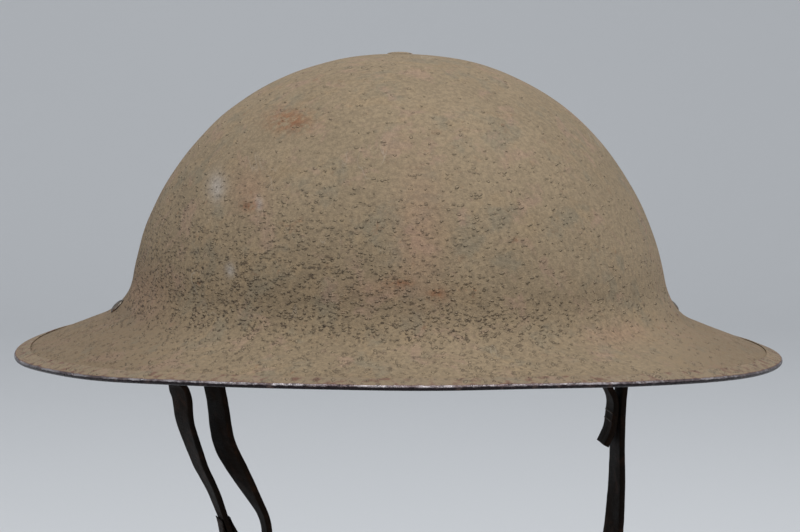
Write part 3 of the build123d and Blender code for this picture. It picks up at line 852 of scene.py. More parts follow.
def felt_finish():
    """Grey wool felt: short tangled hairs and soft stains."""
    nodes, place = new_finish("wool_felt")
    hairs = nodes.noise(place, 1100.0, 5, 0.75, 2.5)
    _, patch, colour = nodes.mottled(place, 45.0, (0.21, 0.195, 0.165), (0.30, 0.28, 0.235))
    stains, bristle = (patch, 0.3, (0.17, 0.13, 0.09)), (hairs.step(0.45, 0.7), 0.5, (0.40, 0.37, 0.31))
    return nodes.done({
        "Base Color": nodes.coats(colour, stains, bristle),
        "Roughness": 0.97,
        "Sheen Weight": 0.35,
        "Normal": nodes.bump(hairs + nodes.noise(place, 260.0, 3, 0.6), 0.0006, 0.8),
    })


def rubber_finish():
    """Perished rubber tube: brownish black, dusty, with fine cracks."""
    nodes, place = new_finish("perished_rubber")
    drawn = nodes.stretched(place, (1, 1, 0.5))
    cracks = nodes.cells(drawn, 420.0, feature="DISTANCE_TO_EDGE").step(0.06, 0.0)
    cloud, patch, colour = nodes.mottled(place, 110.0, (0.050, 0.034, 0.028), (0.105, 0.070, 0.052))
    dust_coat, crack_coat = (patch, 0.45, (0.19, 0.155, 0.12)), (cracks, 0.7, (0.016, 0.012, 0.01))
    return nodes.done({
        "Base Color": nodes.coats(colour, dust_coat, crack_coat),
        "Roughness": cloud.step(0, 1, 0.6, 0.82),
        "Normal": nodes.bump(nodes.noise(place, 1200.0, 3) - cracks, 0.00016, 0.7),
    })


def twine_finish(name, dark, light):
    """Cotton twine: laid yarns show as slanting grooves darkened with painted shade, with loose fibres."""
    nodes, place = new_finish(name)
    # Painted shade in the grooves between the laid yarns.
    groove_shade = nodes.carried_value("yarn").step(-0.2, -0.9)
    _, _, colour = nodes.mottled(place, 70.0, dark, light)
    fibres = nodes.noise(place, 2400.0, 4, 0.7)
    grooves, fluff = (groove_shade, 0.55, scaled(dark, 0.4)), (fibres.step(0.52, 0.75), 0.4, scaled(light, 1.35))
    return nodes.done({
        "Base Color": nodes.coats(colour, grooves, fluff),
        "Roughness": 0.95,
        "Sheen Weight": 0.2,
        "Normal": nodes.bump(fibres, 0.0002, 0.7),
    })


painted_rivet = painted_steel_finish()
# Dark brown leather whose colours are made near black as painted shade, for the strap and its chape.
strap_tones_with_painted_shade = (0.005, 0.0033, 0.0022), (0.012, 0.0065, 0.004), (0.036, 0.016, 0.009)
band_tones = (0.115, 0.055, 0.026), (0.19, 0.10, 0.05), (0.26, 0.16, 0.09)
finishes = {
    "painted_shell": paint_finish(),
    "rim_steel": band_finish(),
    "rivet_steel": steel_finish("rivet_steel", (0.10, 0.085, 0.07), (0.22, 0.195, 0.165), 0.8),
    "wire_steel": steel_finish("wire_steel", (0.085, 0.075, 0.066), (0.19, 0.172, 0.155), 0.65),
    "buckle_brass": brass_finish(),
    "strap_leather": leather_finish("strap_leather", *strap_tones_with_painted_shade, 0.7),
    "band_leather": leather_finish("band_leather", *band_tones, 0.66),
    "oilcloth": cloth_finish("black_oilcloth", (0.016, 0.014, 0.013), (0.032, 0.028, 0.025), 0.55, 0.42),
    "webbing": cloth_finish("liner_webbing", (0.20, 0.165, 0.10), (0.29, 0.24, 0.155), 0.9),
    "felt": felt_finish(),
    "twine": twine_finish("net_twine", (0.25, 0.195, 0.12), (0.38, 0.31, 0.20)),
    "thread": twine_finish("linen_thread", (0.022, 0.015, 0.010), (0.05, 0.034, 0.021)),
    "tube_rubber": rubber_finish(),
}


# Shell and rim band
def oval_radius(half_width, half_length, turn):
    """Distance from the axis to an oval's edge: a b / sqrt((b cos t)^2 + (a sin t)^2)."""
    return half_width * half_length / np.hypot(half_length * np.cos(turn), half_width * np.sin(turn))


def dome(turn, tilt):
    """Bowl's outer face as (radius, height): oval radius times sin(tilt)^fullness, and the base height
    plus the rise times cos(tilt)^flatness."""
    radius = oval_radius(bowl_half_width, bowl_half_length, turn) * np.sin(tilt) ** fullness_share
    height = bowl_base_height + (crown_height - bowl_base_height) * np.cos(tilt) ** flatness_share
    return np.stack(np.broadcast_arrays(radius, height), -1)


def brim_edge(turn):
    """Rim of the shell's outer face as (radius, height), and the brim's run towards it."""
    radius = oval_radius(rim_half_width - rim_inset, rim_half_length - rim_inset, turn)
    edge = np.stack([radius, rim_inset + shell_wall / 2 + saddle_rise * np.sin(turn) ** 2], -1)
    bowl = oval_radius(bowl_half_width, bowl_half_length, turn)
    return edge, unit(edge - level(bowl, brim_corner_height))


def wall_rows(turn):
    """Outer face in radial planes, row by row from the crown hole to the rim: the dome to its last tilt,
    a parabola that touches the wall and the brim, and the straight brim."""
    bowl = oval_radius(bowl_half_width, bowl_half_length, turn)
    hole_tilt = np.arcsin((crown_hole_radius / bowl) ** (1 / fullness_share))
    share = np.linspace(0, 1, dome_rows)[:, None]
    wall = dome(turn, hole_tilt + (last_tilt - hole_tilt) * share)
    start = wall[-1]
    run = unit(wall[-1] - dome(turn, last_tilt - 0.001))
    edge, brim_run = brim_edge(turn)
    gap = edge - start
    drop = gap[:, 0] * brim_run[:, 1] - gap[:, 1] * brim_run[:, 0]
    drop = (drop / (run[:, 0] * brim_run[:, 1] - run[:, 1] * brim_run[:, 0]))[:, None]
    corner = start + run * drop
    room = np.linalg.norm(edge - corner, axis=-1, keepdims=True)
    end = corner + brim_run * np.minimum(drop, flare_room_share * room)
    share = np.linspace(0, 1, flare_rows)[1:, None, None]
    flare = start * (1 - share) ** 2 + corner * 2 * share * (1 - share) + end * share**2
    share = np.linspace(0, 1, brim_rows)[1:, None, None]
    return np.concatenate([wall, flare, end + (edge - end) * share])


def round_axis(places, turn):
    """(Radius, height) pairs at a turn, as points in space."""
    radius = places[..., 0]
    return np.stack([radius * np.cos(turn), radius * np.sin(turn), places[..., 1]], -1)


def rim_share(points):
    """Distance from the axis as a share of the rim's."""
    return np.hypot(points[..., 0] / rim_half_width, points[..., 1] / rim_half_length)


def rim_waves(points):
    """Rise and fall of the brim in waves of about 130 mm, which fade out towards the bowl."""
    lift = rim_wave * wander(points * (1, 1, 0), 130, 21, 3) * smooth((rim_share(points) - 0.74) / 0.24)
    return points + lift[..., None] * (0, 0, 1)


def dents(points):
    """Depth of the shallow dents of the bowl and brim: random fields of 85 mm and, weaker, of 24 mm, with
    none at the crown, at the rivets and under the band."""
    depth = dent_depth * wander(points, 85, 5, 3) + 0.3 * dent_depth * wander(points, 24, 9, 2)
    depth *= smooth((rim_share(points) - 0.05) / 0.15) * smooth((0.95 - rim_share(points)) / 0.08)
    away = np.linalg.norm(np.abs(points) - rivet_point, axis=-1)
    return depth * smooth((away - 8) / 14)


# Marks on the paint, as (x, y, half width, half height) in the photograph's pixels
rust_marks = [(290, 121, 21, 11), (437, 294, 8, 6), (250, 206, 9, 4), (400, 283, 12, 4)]
pink_marks = [
    (250, 190, 18, 22), (420, 232, 24, 62), (615, 335, 28, 10), (392, 290, 46, 10), (145, 292, 26, 26),
]
pale_marks = [(217, 187, 8, 13), (259, 204, 3, 6), (230, 270, 4, 6)]


def marked(points, marks):
    """How strongly the marks cover points: the largest of exp(-(dx/w)^2 - (dy/h)^2), on the near side."""
    pixels = seen_at(points)
    cover = np.zeros(points.shape[:-1])
    for x, y, half_width, half_height in marks:
        away = ((pixels - (x, y)) / (half_width, half_height)) ** 2
        cover = np.maximum(cover, np.exp(-away.sum(-1)))
    return cover * smooth((20 - points[..., 1]) / 40)


def shell_surface():
    """Skin of the shell as one closed grid: down the outer face, round the edge and up the inner face.
    The inner face is the outer one moved in by the wall. Low fades in from a height of 84 mm to 24 mm on
    the left, with a foot all round below 44 mm, and fades again under 21 mm. Edge is full at the rim and
    on the low ends of the brim, beyond 64 mm from the middle."""
    turn = full_circle(shell_columns)
    outer = wall_rows(turn)
    rows = len(outer)
    inward = inward_of(outer)
    outer = outer + inward * dents(round_axis(outer, turn))[..., None]
    kept = np.unique(np.round(np.linspace(0, rows - 1, inner_rows)).astype(int))[::-1]
    places = np.concatenate([outer, outer[kept] + inward[kept] * shell_wall])
    points = rim_waves(round_axis(places, turn))
    faces = grid_faces(len(places), shell_columns, close_rows=True, close_columns=True)
    inside = np.repeat(np.arange(len(places)) >= rows, shell_columns).reshape(points.shape[:-1])
    x, z = points[..., 0], points[..., 2]
    aside = smooth((np.abs(x) - 64) / 50) * smooth((26 - z) / 8)
    foot = smooth((44 - z) / 20) * (1 - 0.75 * smooth((x - 20) / 60))
    low = np.maximum(smooth((84 - z) / 60) * smooth((70 - x) / 120), 0.9 * foot)
    marks = {"rust": rust_marks, "pink": pink_marks, "pale": pale_marks}
    return Surface(
        points,
        faces,
        edge=np.maximum(smooth((rim_share(points) - 0.93) / 0.05), 0.9 * aside),
        low=low * (1 - 0.45 * smooth((21 - z) / 6)),
        inside=inside,
        **{key: marked(points, spots) * (1 - inside) for key, spots in marks.items()},
    )


def band_surface():
    """Strip folded over the rim, open by the seam at the back. Its section runs over the roll on the
    outside and back inside it, and its edges are a little uneven. Wear is full on the roll and fades out
    on the flats, and rise is the height in the section as a share of the roll's."""
    seam = math.asin(band_seam / 2 / rim_half_length)
    turn = quarter + seam + np.linspace(0, 1, band_sections) * (2 * math.pi - 2 * seam)
    edge, run = brim_edge(turn)
    lift = np.stack([-run[:, 1], run[:, 0]], -1)
    middle = edge - lift * (shell_wall / 2)
    outer = shell_wall / 2 + band_clearance + band_wall
    inner = shell_wall / 2 + band_clearance
    roll = spoke(np.linspace(quarter, -quarter, 15))
    flat = -np.linspace(1, 0, 7)[:-1] * band_reach
    lip = spoke(np.linspace(-quarter, quarter, 5)[1:-1]) * (-1, 1) * band_wall / 2
    tip = band_wall / 2
    over = np.concatenate([
        level(flat, outer), roll * outer, level(flat[::-1], -outer), (-band_reach, -outer + tip) + lip,
        level(flat, -inner), roll[::-1] * inner, level(flat[::-1], inner), (-band_reach, inner + tip) + lip,
    ])
    uneven = 1 + 0.07 * wander(round_axis(edge, turn), 45, 31, 3)
    u = np.where(over[:, 0] < 0, over[:, 0] * uneven[:, None], over[:, 0])
    v = np.broadcast_to(over[:, 1], u.shape)
    places = middle[:, None] + u[..., None] * run[:, None] + v[..., None] * lift[:, None]
    points = rim_waves(round_axis(places, turn[:, None])).reshape(-1, 3)
    faces = grid_faces(band_sections, len(over), close_columns=True)
    points, faces = capped(points, faces, len(over))
    wear = np.where(v > 0, smooth((u + 0.1) / 0.75), smooth((u + 0.75) / 0.9))
    return Surface(points, faces, wear=np.append(wear, [0, 0]), rise=np.append(v / outer, [0, 0]))


add_piece("shell_skin", shell_surface(), "painted_shell", "shell")
add_piece("rim_band_fold", band_surface(), "rim_steel", "rim_band")


# Rivets and washer. A rivet's size: radius of its shank, radius and rise of its head, and of its tail.
lug_rivet_size = 1.6, 3.3, 1.3, 2.9, 1.1
crown_rivet_size = 2.0, 4.8, 0.8, 3.6, 1.4
liner_rivet_size = 1.4, 3.2, 0.9, 2.3, 0.9


def rivet_surface(origin, axis, grip, size, seed):
    """Rivet with a low dome, its seat at height zero, and a clenched tail below."""
    shank, head, rise, tail, tail_rise = size
    turns = np.linspace(0, 1, 9) * math.pi / 2
    dome_part = np.stack([head * np.sin(turns), rise * np.cos(turns)], -1)
    tail_part = np.stack([tail * np.cos(turns), -grip - tail_rise * np.sin(turns)], -1)
    profile = np.vstack([dome_part, (head, -0.02), (shank, -0.02), (shank, -grip), tail_part])
    profile[0, 0] = profile[-1, 0] = 0
    return turned(profile, np.asarray(origin, float), axis, 40, 0.06, seed)


lug_grip = rivet_seat + lug_depth + lug_wall + lug_fold_gap / 2
lug_seat = rivet_point + rivet_axis * rivet_seat
lug_rivet = rivet_surface(lug_seat, rivet_axis, lug_grip, lug_rivet_size, 41)
crown_grip = crown_height - washer_top + washer_wall
crown_rivet = rivet_surface((0, 0, crown_height), (0, 0, 1), crown_grip, crown_rivet_size, 43)
washer_profile = [(8.0, -0.25), (7.8, 0), (2.1, 0), (2.1, -1.0), (7.8, -1.0), (8.0, -0.75)]
washer = turned(washer_profile, (0, 0, washer_top), steps=64, wobble=0.05, seed=44)
web_seat = layer_gap + web_wall
liner_grip = web_seat + liner_wall + layer_gap / 2
liner_rivets = []
for index, (x, y) in enumerate(((1, 0), (-1, 0), (0, 1), (0, -1))):
    reach = (liner_half_width if x else liner_half_length) + web_seat
    place = (x * reach, y * reach, liner_rivet_height)
    liner_rivets.append(rivet_surface(place, (x, y, 0), liner_grip, liner_rivet_size, 50 + index))
add_piece("crown_rivet_dome", crown_rivet, "rivet_steel", "crown_rivet", material=painted_rivet)
add_piece("crown_washer_disc", washer, "rivet_steel", "crown_washer")
add_piece("right_rivet_dome", lug_rivet, "rivet_steel", "right_lug_rivet")
add_piece("left_rivet_dome", mirrored(lug_rivet), "rivet_steel", "left_lug_rivet")
add_piece("liner_rivet_domes", joined(liner_rivets), "rivet_steel", "liner_rivets")


# Lugs and bails
def lug_surface():
    """Steel strip folded double round the bail's wire: flat, round the eye, and flat again."""
    layer = (lug_wall + lug_fold_gap) / 2
    centre = rivet_point + rivet_run * lug_eye_reach - rivet_axis * lug_depth
    radius = bail_wire_radius + running_gap + lug_wall / 2
    reach = math.sqrt(radius**2 - layer**2)
    loop = radius * spoke(np.linspace(math.atan2(layer, -reach), -math.atan2(layer, -reach), 40))
    flat = np.linspace(-(lug_tail_reach + lug_eye_reach), -reach, 14)[:-1]
    places = np.vstack([level(flat, layer), loop, level(flat[::-1], -layer)])
    path = centre + places[:, :1] * rivet_run + places[:, 1:] * rivet_axis
    return carried(path, (0, 1, 0), rounded_oblong(lug_width, lug_wall, 0.25, 3, 7))


def bail_surface():
    """Wire bent into a rounded oblong, from the pivot in the lug down to the bar."""
    hang = unit(bar - pivot)
    half = bail_width / 2
    corners = [(0, 0), (half, 0), (half, bail_length), (-half, bail_length), (-half, 0), (0, 0)]
    flat = route(corners, [bail_corner_radius] * 4, 0.8)[:-1]
    path = pivot + flat[:, :1] * (0, 1, 0) + flat[:, 1:] * hang
    return carried(path, np.cross((0, 1, 0), hang), circle(bail_wire_radius, 16), closed=True)


lug, bail = lug_surface(), bail_surface()
for side, lug_side, bail_side in (("right", lug, bail), ("left", mirrored(lug), mirrored(bail))):
    add_piece(f"{side}_lug_fold", lug_side, "wire_steel", f"{side}_lug")
    add_piece(f"{side}_bail_wire", bail_side, "wire_steel", f"{side}_bail", f"{side}_bail")


# Chin strap, its stitching and its buckle
def strap_path():
    """The strap's line: the sewn tab, the eye round the right bar, the long route under the chin, the loop
    round the left bar, and the outer strand to its end."""
    neck, tab = main_route[1], route(tab_route, share_radii(tab_route))
    over = (eye_centre[0] + (eye_centre[0] - neck[0]) * 0.3, eye_centre[1] + 5)
    eye = arc(eye_centre, eye_radius, tab_route[-1], main_route[0], over)
    main = route(main_route, share_radii(main_route))
    top = (loop_centre[0], loop_centre[1] + loop_radius)
    loop = arc(loop_centre, loop_radius, main_route[-1], loop_end, top)
    strand = np.add(loop_end, np.outer((0, strand_length), strand_run[[0, 2]]))
    return upright(spaced(np.vstack([tab, eye[1:-1], main, loop[1:-1], strand]), 0.8))


bar_place = upright(loop_end) + strand_run * buckle_run


def twist_share(run):
    """Share of the left strands' turn that is left at a distance below the bar. It fades evenly, so that
    the leather fold slides along without rubbing."""
    return np.clip((twist_reach - run) / twist_reach, 0, 1)


def bump_at(values, centre, width):
    """Bell curve: exp(-((x - centre) / width)^2)."""
    return np.exp(-(((values - centre) / width) ** 2))


def strap_surface():
    """Leather strip carried along the strap's line. Below the left bar its two strands turn about
    themselves, and the turn fades evenly down to the buckle. The right strand turns a little the other
    way. Away from the buckle its faces ripple. Distances run in millimetres from the left bar, down the
    outer and the inner strand, and from the top of the right eye."""
    path = strap_path()
    along = distances(path)
    outer = along - (along[-1] - strand_length)
    inner = -outer - loop_lap
    from_eye = along - along[np.argmax(path[:, 2] + path[:, 0] / 50)]
    right_end = smooth((150 - from_eye) / 60)
    twist = left_twist * smooth((outer + 5) / 8) * twist_share(outer)
    twist -= left_twist * smooth((inner + 10) / 10) * twist_share(inner)
    twist += inner_twist * bump_at(inner, 34, 18)
    twist += right_twist * np.clip((from_eye - 15) / 60, 0, 1) * right_end
    bow = 1.0 * bump_at(outer, 4, 6) - 1.3 * smooth((outer - 4) / 14) * smooth((46 - outer) / 16)
    drift = 2.0 * smooth((from_eye - 12) / 40) * right_end
    path = path + bow[:, None] * strand_side + drift[:, None] * (1, 0, 0)
    strip = carried(path, (0, 1, 0), rounded_oblong(strap_width, strap_wall, 0.7, 5, 11), twist=twist)
    ripple = 0.12 * wander(strip.points, 9, 62, 3) + 0.1 * wander(strip.points, 30, 63, 2)
    ripple *= smooth((np.linalg.norm(strip.points - bar_place, axis=1) - 58) / 12)
    strip.points = strip.points + ripple[:, None] * (0.6, 0.2, 0.2)
    return strip


def stitch_surface():
    """Ten stitches on each face of the sewn eye: short round bars whose ends dip into the leather."""
    neck_out, neck_in = np.array([86.335, 0, -17.572]), np.array([83.95, 0, -17.308])
    down, outward = np.array([-0.11, 0, -0.994]), np.array([0.994, 0, -0.11])
    share = np.linspace(-1, 1, 9)[:, None]
    bars = []
    for start, face in ((neck_out, outward), (neck_in, -outward)):
        for row in range(2):
            for column in range(-2, 3):
                centre = start + face * (strap_wall / 2 + 0.02) + down * (5.0 + stitch_row_gap * row)
                centre = centre + (0, stitch_pitch * column, 0)
                path = centre + share * (0, stitch_length / 2, 0) + (0.18 - 0.3 * share**4) * face
                bars.append(carried(path + 0.12 * share * down, down, circle(stitch_radius, 8)))
    bars = joined(bars)
    bars.values = {"yarn": np.sin(bars.points[:, 1] * 9 + bars.points[:, 2] * 4)}
    return bars


def chape_surface():
    """Leather folded round the buckle's bar, both leaves lying along the outer strand, turned with it.
    The leaves thin down towards their ends and stand off a little away from the bar."""
    fold = spoke(np.linspace(quarter, -quarter, 14))
    leaf = np.linspace(-chape_length, 0, 52)[:-1]
    places = np.vstack([level(leaf, chape_centre), chape_centre * fold, level(leaf[::-1], -chape_centre)])
    flat = carried(upright(places), (0, 1, 0), rounded_oblong(chape_width, chape_wall, 0.5, 4, 9))
    run, across, out = flat.points.T
    face = chape_centre - chape_wall / 2
    thin = np.where(run < -chape_wall, 0.2 + 0.8 * smooth((run + chape_length) / chape_skive), 1)
    play = chape_play * smooth((-run - 14) / 10)
    out = np.sign(out) * (face + (np.abs(out) - face) * thin + play)
    turn = left_twist * twist_share(buckle_run + run)
    side = across * np.cos(turn) - out * np.sin(turn)
    lift = out * np.cos(turn) + across * np.sin(turn)
    run, side, lift = run[:, None], side[:, None], lift[:, None]
    flat.points = bar_place + run * strand_run + side * (0, 1, 0) + lift * strand_side
    return flat


def buckle_surface():
    """Wire frame beside the inner strand, and a bridge from its rails round the outer strand."""
    half, span = buckle_half_length, rail_half_span
    corners = [(0, span), (half, span), (half, -span), (-half, -span), (-half, span), (0, span)]
    flat = route(corners, [buckle_corner_radius] * 4, 0.6)[:-1]
    path = bar_place + strand_side * frame_offset + flat[:, :1] * strand_run + flat[:, 1:] * (0, 1, 0)
    loop = carried(path, strand_side, circle(buckle_wire_radius, 16), closed=True)
    legs = [(-span, frame_offset), (-span, 0), (span, 0), (span, frame_offset)]
    flat = route(legs, [buckle_corner_radius] * 2, 0.6)
    path = bar_place + flat[:, :1] * (0, 1, 0) + flat[:, 1:] * strand_side
    return joined([loop, carried(path, strand_run, circle(buckle_wire_radius, 16))])


def chape_rivet_surface():
    """Small flat rivet through both leaves."""
    face = chape_centre + chape_wall / 2
    origin = bar_place - strand_run * chape_rivet_run - strand_side * face
    head = [(0, 0.9), (1.5, 0.85), (2.2, 0.65), (2.6, 0.3), (2.6, 0)]
    return turned([*head, (1.3, 0), (1.3, -2 * face), (0, -2 * face)], origin, -strand_side, 32, 0.03, 71)


add_piece("chin_strap_leather", strap_surface(), "strap_leather", "chin_strap", "chin_strap")
add_piece("eye_stitches", stitch_surface(), "thread", "eye_stitching", "chin_strap")
add_piece("buckle_wire", buckle_surface(), "buckle_brass", "buckle", "buckle")
add_piece("buckle_chape_fold", chape_surface(), "strap_leather", "buckle_chape", "buckle")
add_piece("chape_rivet_head", chape_rivet_surface(), "buckle_brass", "chape_rivet", "buckle")


# Liner
def oval_path(half_width, half_length, height, step, start=-quarter):
    """Points of a level oval, an even step apart, the first one again at the end."""
    ring = spoke(np.linspace(0, 2 * math.pi, 721) + start) * (half_width, half_length)
    return spaced(np.column_stack([ring, np.full(len(ring), height)]), step)


def band_ring(inset, wall, bottom, top, corner, waves, seed):
    """Upright strip bent into an oval with its two ends meeting, its faces a little wavy."""
    middle = inset + wall / 2
    path = oval_path(liner_half_width - middle, liner_half_length - middle, (bottom + top) / 2, 1.5)[::-1]
    strip = carried(path, (0, 0, 1), rounded_oblong(top - bottom, wall, corner, 4, 17))
    out = unit(strip.points * (1, 1, 0))
    strip.points = strip.points + (waves * wander(strip.points, 28, seed, 3))[:, None] * out
    return strip


liner_band = band_ring(0, liner_wall, liner_bottom, liner_top, 0.5, 0.08, 81)
add_piece("liner_band_leather", liner_band, "band_leather", "liner_band")
felt = band_ring(felt_inset, felt_wall, felt_bottom, felt_top, 0.8, 0.08, 82)
add_piece("felt_band_pad", felt, "felt", "felt_band")
headband = band_ring(headband_inset, headband_wall, headband_bottom, headband_top, 0.5, 0.1, 83)
headband_piece = add_piece("headband_oilcloth", headband, "oilcloth", "headband")


def web_surface(across_liner, depth, band_radius):
    """Webbing over the crown: along the bowl at its depth, then down on the band at each end. The line is
    the dome's section moved in, eased into the band's upright over its last stretch by a cubic curve that
    keeps both ends' directions."""
    turn, last_degree = (0, 50) if across_liner else (quarter, 56)
    places = dome(np.array(turn), np.radians(np.linspace(0.5, last_degree, 60)))
    places = places + depth * inward_of(places)
    drop = band_radius + layer_gap + web_wall / 2
    fold = np.array([drop, web_fold_height])
    last, run = places[-1], unit(places[-1] - places[-2])
    reach = np.linalg.norm(fold - last)
    share = np.linspace(0, 1, 30)[1:, None]
    ease = (2 * share**3 - 3 * share**2 + 1) * last + (share**3 - 2 * share**2 + share) * run * reach
    ease = ease + (3 * share**2 - 2 * share**3) * fold + (share**3 - share**2) * np.array([0, -1]) * reach
    half = np.vstack([(0, crown_height - depth), places, ease, (drop, web_end_height)])
    half = half[half[:, 0] >= 0]
    path = upright(spaced(np.vstack([half[::-1] * (-1, 1), half[1:]]), 1.2))
    if not across_liner:
        path = path[:, [1, 0, 2]]
    side = (0, 1, 0) if across_liner else (1, 0, 0)
    return carried(path, side, rounded_oblong(web_width, web_wall, 0.45, 4, 17))


long_web = web_surface(False, long_web_depth, liner_half_length)
long_piece = add_piece("long_crown_web", long_web, "webbing", "crown_strap_long")
cross_web = web_surface(True, cross_web_depth, liner_half_width)
cross_piece = add_piece("cross_crown_web", cross_web, "webbing", "crown_strap_cross")


def pad_surface():
    """Felt ring under the crown: it follows the bowl at its depth, with full rounded edges."""
    top = dome(np.array(0.0), np.radians(np.linspace(6.5, 23.5, 24)))
    inward = inward_of(top)
    squeeze = 1 - np.abs(np.linspace(-1, 1, 24)) ** 5
    upper = top + inward * (pad_depth + pad_wall / 2 * (1 - squeeze))[:, None]
    under = top + inward * (pad_depth + pad_wall / 2 * (1 + squeeze * 0.96))[:, None]
    pad = turned(np.vstack([upper, under[::-1][1:-1]]), steps=120)
    out = unit(pad.points * (1, 1, 0))
    pad.points = pad.points + (0.18 * wander(pad.points, 12, 95, 3))[:, None] * (out - (0, 0, 1)) * 0.5
    return pad


add_piece("crown_pad_felt", pad_surface(), "felt", "crown_pad")


def twisted(path, side, radius, closed=False, pitch=4.0):
    """Laid cord of three yarns: a round section with a bulge for each, turning steadily along the path."""
    yarns, turns, along = 3, full_circle(12), distances(path)
    total = along[-1] + (np.linalg.norm(path[0] - path[-1]) if closed else 0)
    laps = max(1, round(total / pitch)) / total * 2 * math.pi
    bulge = np.cos(yarns * turns[None] - laps * along[:, None])
    cord = carried(path, side, (radius * (0.86 + 0.14 * bulge))[..., None] * spoke(turns), closed=closed)
    cord.values = {"yarn": bulge.ravel() if closed else np.append(bulge.ravel(), [0, 0])}
    return cord


def net_surface():
    """Net of knotted twine on an oval dome: rows both ways, a knot at each crossing, a stitched border."""
    half_width = liner_half_width - headband_inset
    half_length = liner_half_length - headband_inset
    base = headband_top + layer_gap
    middle = net_wall / 2
    a, b, c = half_width - middle, half_length - middle, net_rise - middle

    def dome_height(x, y):
        return base + c * np.sqrt(np.clip(1 - (x / a) ** 2 - (y / b) ** 2, 0, None))

    rows = int(half_length / net_pitch)
    places = net_pitch * np.arange(-rows, rows + 1)
    sweep = np.sin(np.linspace(-quarter, quarter, 200))
    cords = []
    for place in places:
        for lengthwise, limit, length in ((True, a, b), (False, b, a)):
            if abs(place) >= limit * 0.985:
                continue
            line = length * math.sqrt(1 - (place / limit) ** 2) * sweep
            fixed = np.full(len(line), place)
            x, y = (fixed, line) if lengthwise else (line, fixed)
            weaving = 0.32 * np.cos(math.pi * line / net_pitch) * (1 if lengthwise else -1)
            height = np.maximum(dome_height(x, y) + weaving, base + twine_radius * 0.9)
            points = spaced(np.stack([x, y, height], -1), 0.9)
            cords.append(twisted(points, (1, 0, 0) if lengthwise else (0, 1, 0), twine_radius))
    knots = [(x, y) for x in places for y in places if (x / a) ** 2 + (y / b) ** 2 < 0.93]
    for index, (x, y) in enumerate(knots):
        size = 1.55 + 0.15 * math.sin(index * 2.4)
        profile = spoke(np.linspace(0, math.pi, 7))[:, ::-1] * (size, 0.95)
        profile[0, 0] = profile[-1, 0] = 0
        slope = np.array([x / a**2, y / b**2, (dome_height(x, y) - base) / c**2])
        knot = turned(profile, np.array([x, y, dome_height(x, y)]), slope, 12, 0.18, 100 + index)
        knot.values = {"yarn": np.sin(3 * (knot.points[:, 0] + knot.points[:, 1]))}
        cords.append(knot)
    turn = np.linspace(0, 2 * math.pi, 721)
    for inset in (0.4, 2.0, 3.6):
        x, y = (spoke(turn) * (half_width - 0.6 - inset, half_length - 0.6 - inset)).T
        ring = np.stack([x, y, np.maximum(dome_height(x, y), base + twine_radius)], -1)
        cords.append(twisted(spaced(ring, 0.9)[:-1], (0, 0, 1), twine_radius * 1.05, closed=True))
    return joined(cords)


def drawstring_surface():
    """Laid string round the headband."""
    inset = headband_inset - layer_gap - drawstring_radius
    ring = oval_path(liner_half_width - inset, liner_half_length - inset, drawstring_height, 0.8)[:-1]
    return twisted(ring, (0, 0, 1), drawstring_radius, closed=True, pitch=5.0)


add_piece("net_twine_rows", net_surface(), "twine", "crown_net")
add_piece("drawstring_cord", drawstring_surface(), "twine", "drawstring")


def cushion_surface(turn, seed):
    """Rubber tube along the band: a thick wall with rounded ends, a little squashed and uneven."""
    foot = np.array([liner_half_width * math.cos(turn), liner_half_length * math.sin(turn), cushion_height])
    out = unit(np.array([liner_half_length * math.cos(turn), liner_half_width * math.sin(turn), 0]))
    half, bore, radius, lip = cushion_length / 2, cushion_bore_radius, cushion_radius, cushion_lip
    edge = lip * spoke(np.linspace(0, quarter, 5))[:, ::-1]
    outer_lip = (radius - lip, half - lip) + edge
    inner_lip = (bore + lip, half - lip) + edge * (-1, 1)
    body = level(np.linspace(half - lip, lip - half, 11)[1:-1], radius)[:, ::-1]
    inside = level(np.linspace(lip - half, half - lip, 7)[1:-1], bore)[:, ::-1]
    profile = [outer_lip, body, outer_lip[::-1] * (1, -1), inner_lip * (1, -1), inside, inner_lip[::-1]]
    axis = np.array([-out[1], out[0], 0])
    return turned(np.vstack(profile), foot + out * (cushion_gap + radius), axis, 44, 0.12, seed)


for index in range(cushion_count):
    tube = cushion_surface(2 * math.pi / cushion_count * (index + 1 / 2), 200 + index)
    name = f"cushion_{index + 1:02d}"
    add_piece(f"{name}_tube", tube, "tube_rubber", name)


# Floor, backdrop and light, in metres
def stage_finish(name, colour, dusty):
    """Pale matt surface with a little dust, clear where it is seen from behind."""
    nodes, place = new_finish(name)
    dust = nodes.noise(place, 3.0, 3).step(0.3, 0.7, 0.0, 0.06)
    tree = nodes.tree
    shader = Value(nodes, tree.nodes["Principled BSDF"].outputs[0])
    behind = nodes.node("NewGeometry", {}, "Backfacing")
    face = nodes.node("MixShader", {0: behind, 1: shader, 2: nodes.node("BsdfTransparent", {})})
    nodes.fill(tree.nodes["Material Output"].inputs, {"Surface": face})
    return nodes.done({"Base Color": nodes.blend(dust, colour, dusty), "Roughness": 0.9})


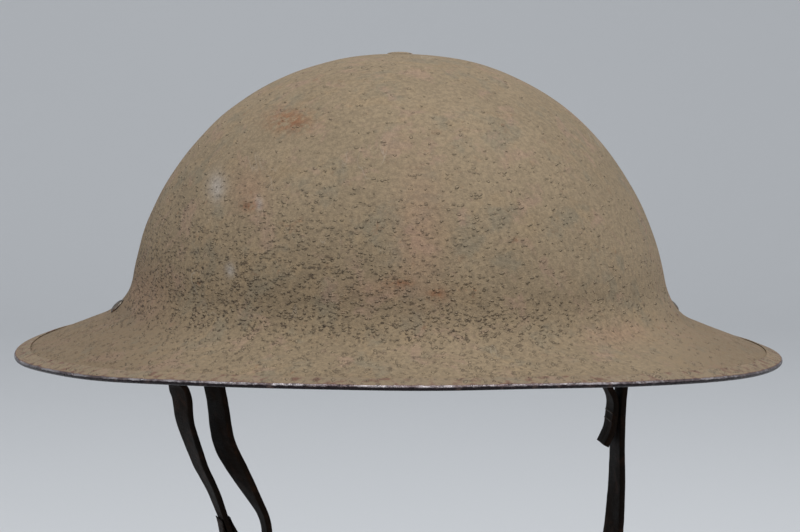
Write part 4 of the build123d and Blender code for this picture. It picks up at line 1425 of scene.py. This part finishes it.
def add_stage():
    """Pale floor that curves up into the backdrop behind the helmet."""
    below, front, bend_start, bend_radius, top, half_width = 0.0006, -2.4, 1.6, 0.9, 3.2, 3.2
    bend = np.linspace(0, quarter, 16)[1:]
    depth = np.concatenate([np.linspace(front, bend_start, 9), bend_start + bend_radius * np.sin(bend)])
    rise = np.concatenate([np.zeros(9), bend_radius * (1 - np.cos(bend))])
    depth, rise = np.append(depth, bend_start + bend_radius), np.append(rise, top)
    points = np.zeros((len(depth), 9, 3))
    points[..., 0] = np.linspace(-half_width, half_width, 9)
    points[..., 1] = depth[:, None]
    points[..., 2] = rise[:, None] + (cad_box[0][2] - below)
    material = stage_finish("pale_floor", (0.62, 0.64, 0.66), (0.55, 0.57, 0.59))
    mesh = new_mesh("floor", points.reshape(-1, 3), grid_faces(len(depth), 9), material)
    add_object("floor", mesh)


def add_lamp(name, place, target, size, power):
    """Large soft square lamp that points at a place."""
    data = bpy.data.lights.new(name, "AREA")
    data.shape = "SQUARE"
    data.size = size
    data.energy = power
    back = unit(np.subtract(place, target))
    right = unit(np.cross((0, 1, 0.01), back))
    matrix = Matrix(np.stack([right, np.cross(back, right), back], -1).tolist()).to_4x4()
    matrix.translation = place
    add_object(name, data).matrix_world = matrix


def add_light():
    """Soft light from above and the front, and a pale world all round."""
    world = bpy.data.worlds.new("studio")
    bpy.context.scene.world = world
    world.use_nodes = True
    sky = world.node_tree.nodes["Background"].inputs
    sky["Color"].default_value = (0.94, 0.96, 1.0, 1)
    sky["Strength"].default_value = 0.54
    for name, place, target, size, power in (
        ("overhead_lamp", (0.1, -0.35, 1.5), (0, 0, 0), 1.3, 18),
        ("front_lamp", (-0.2, -1.7, 0.45), (0, 0, 0.02), 1.2, 1.8),
        ("right_lamp", (1.7, -0.7, 0.5), (0, 0, 0.04), 1.0, 3.0),
        ("left_lamp", (-1.7, -0.7, 0.5), (0, 0, 0.04), 1.0, 2.0),
    ):
        add_lamp(name, place, target, size, power)


add_camera()
add_stage()
add_light()
bpy.context.scene.view_settings.view_transform = "Standard"
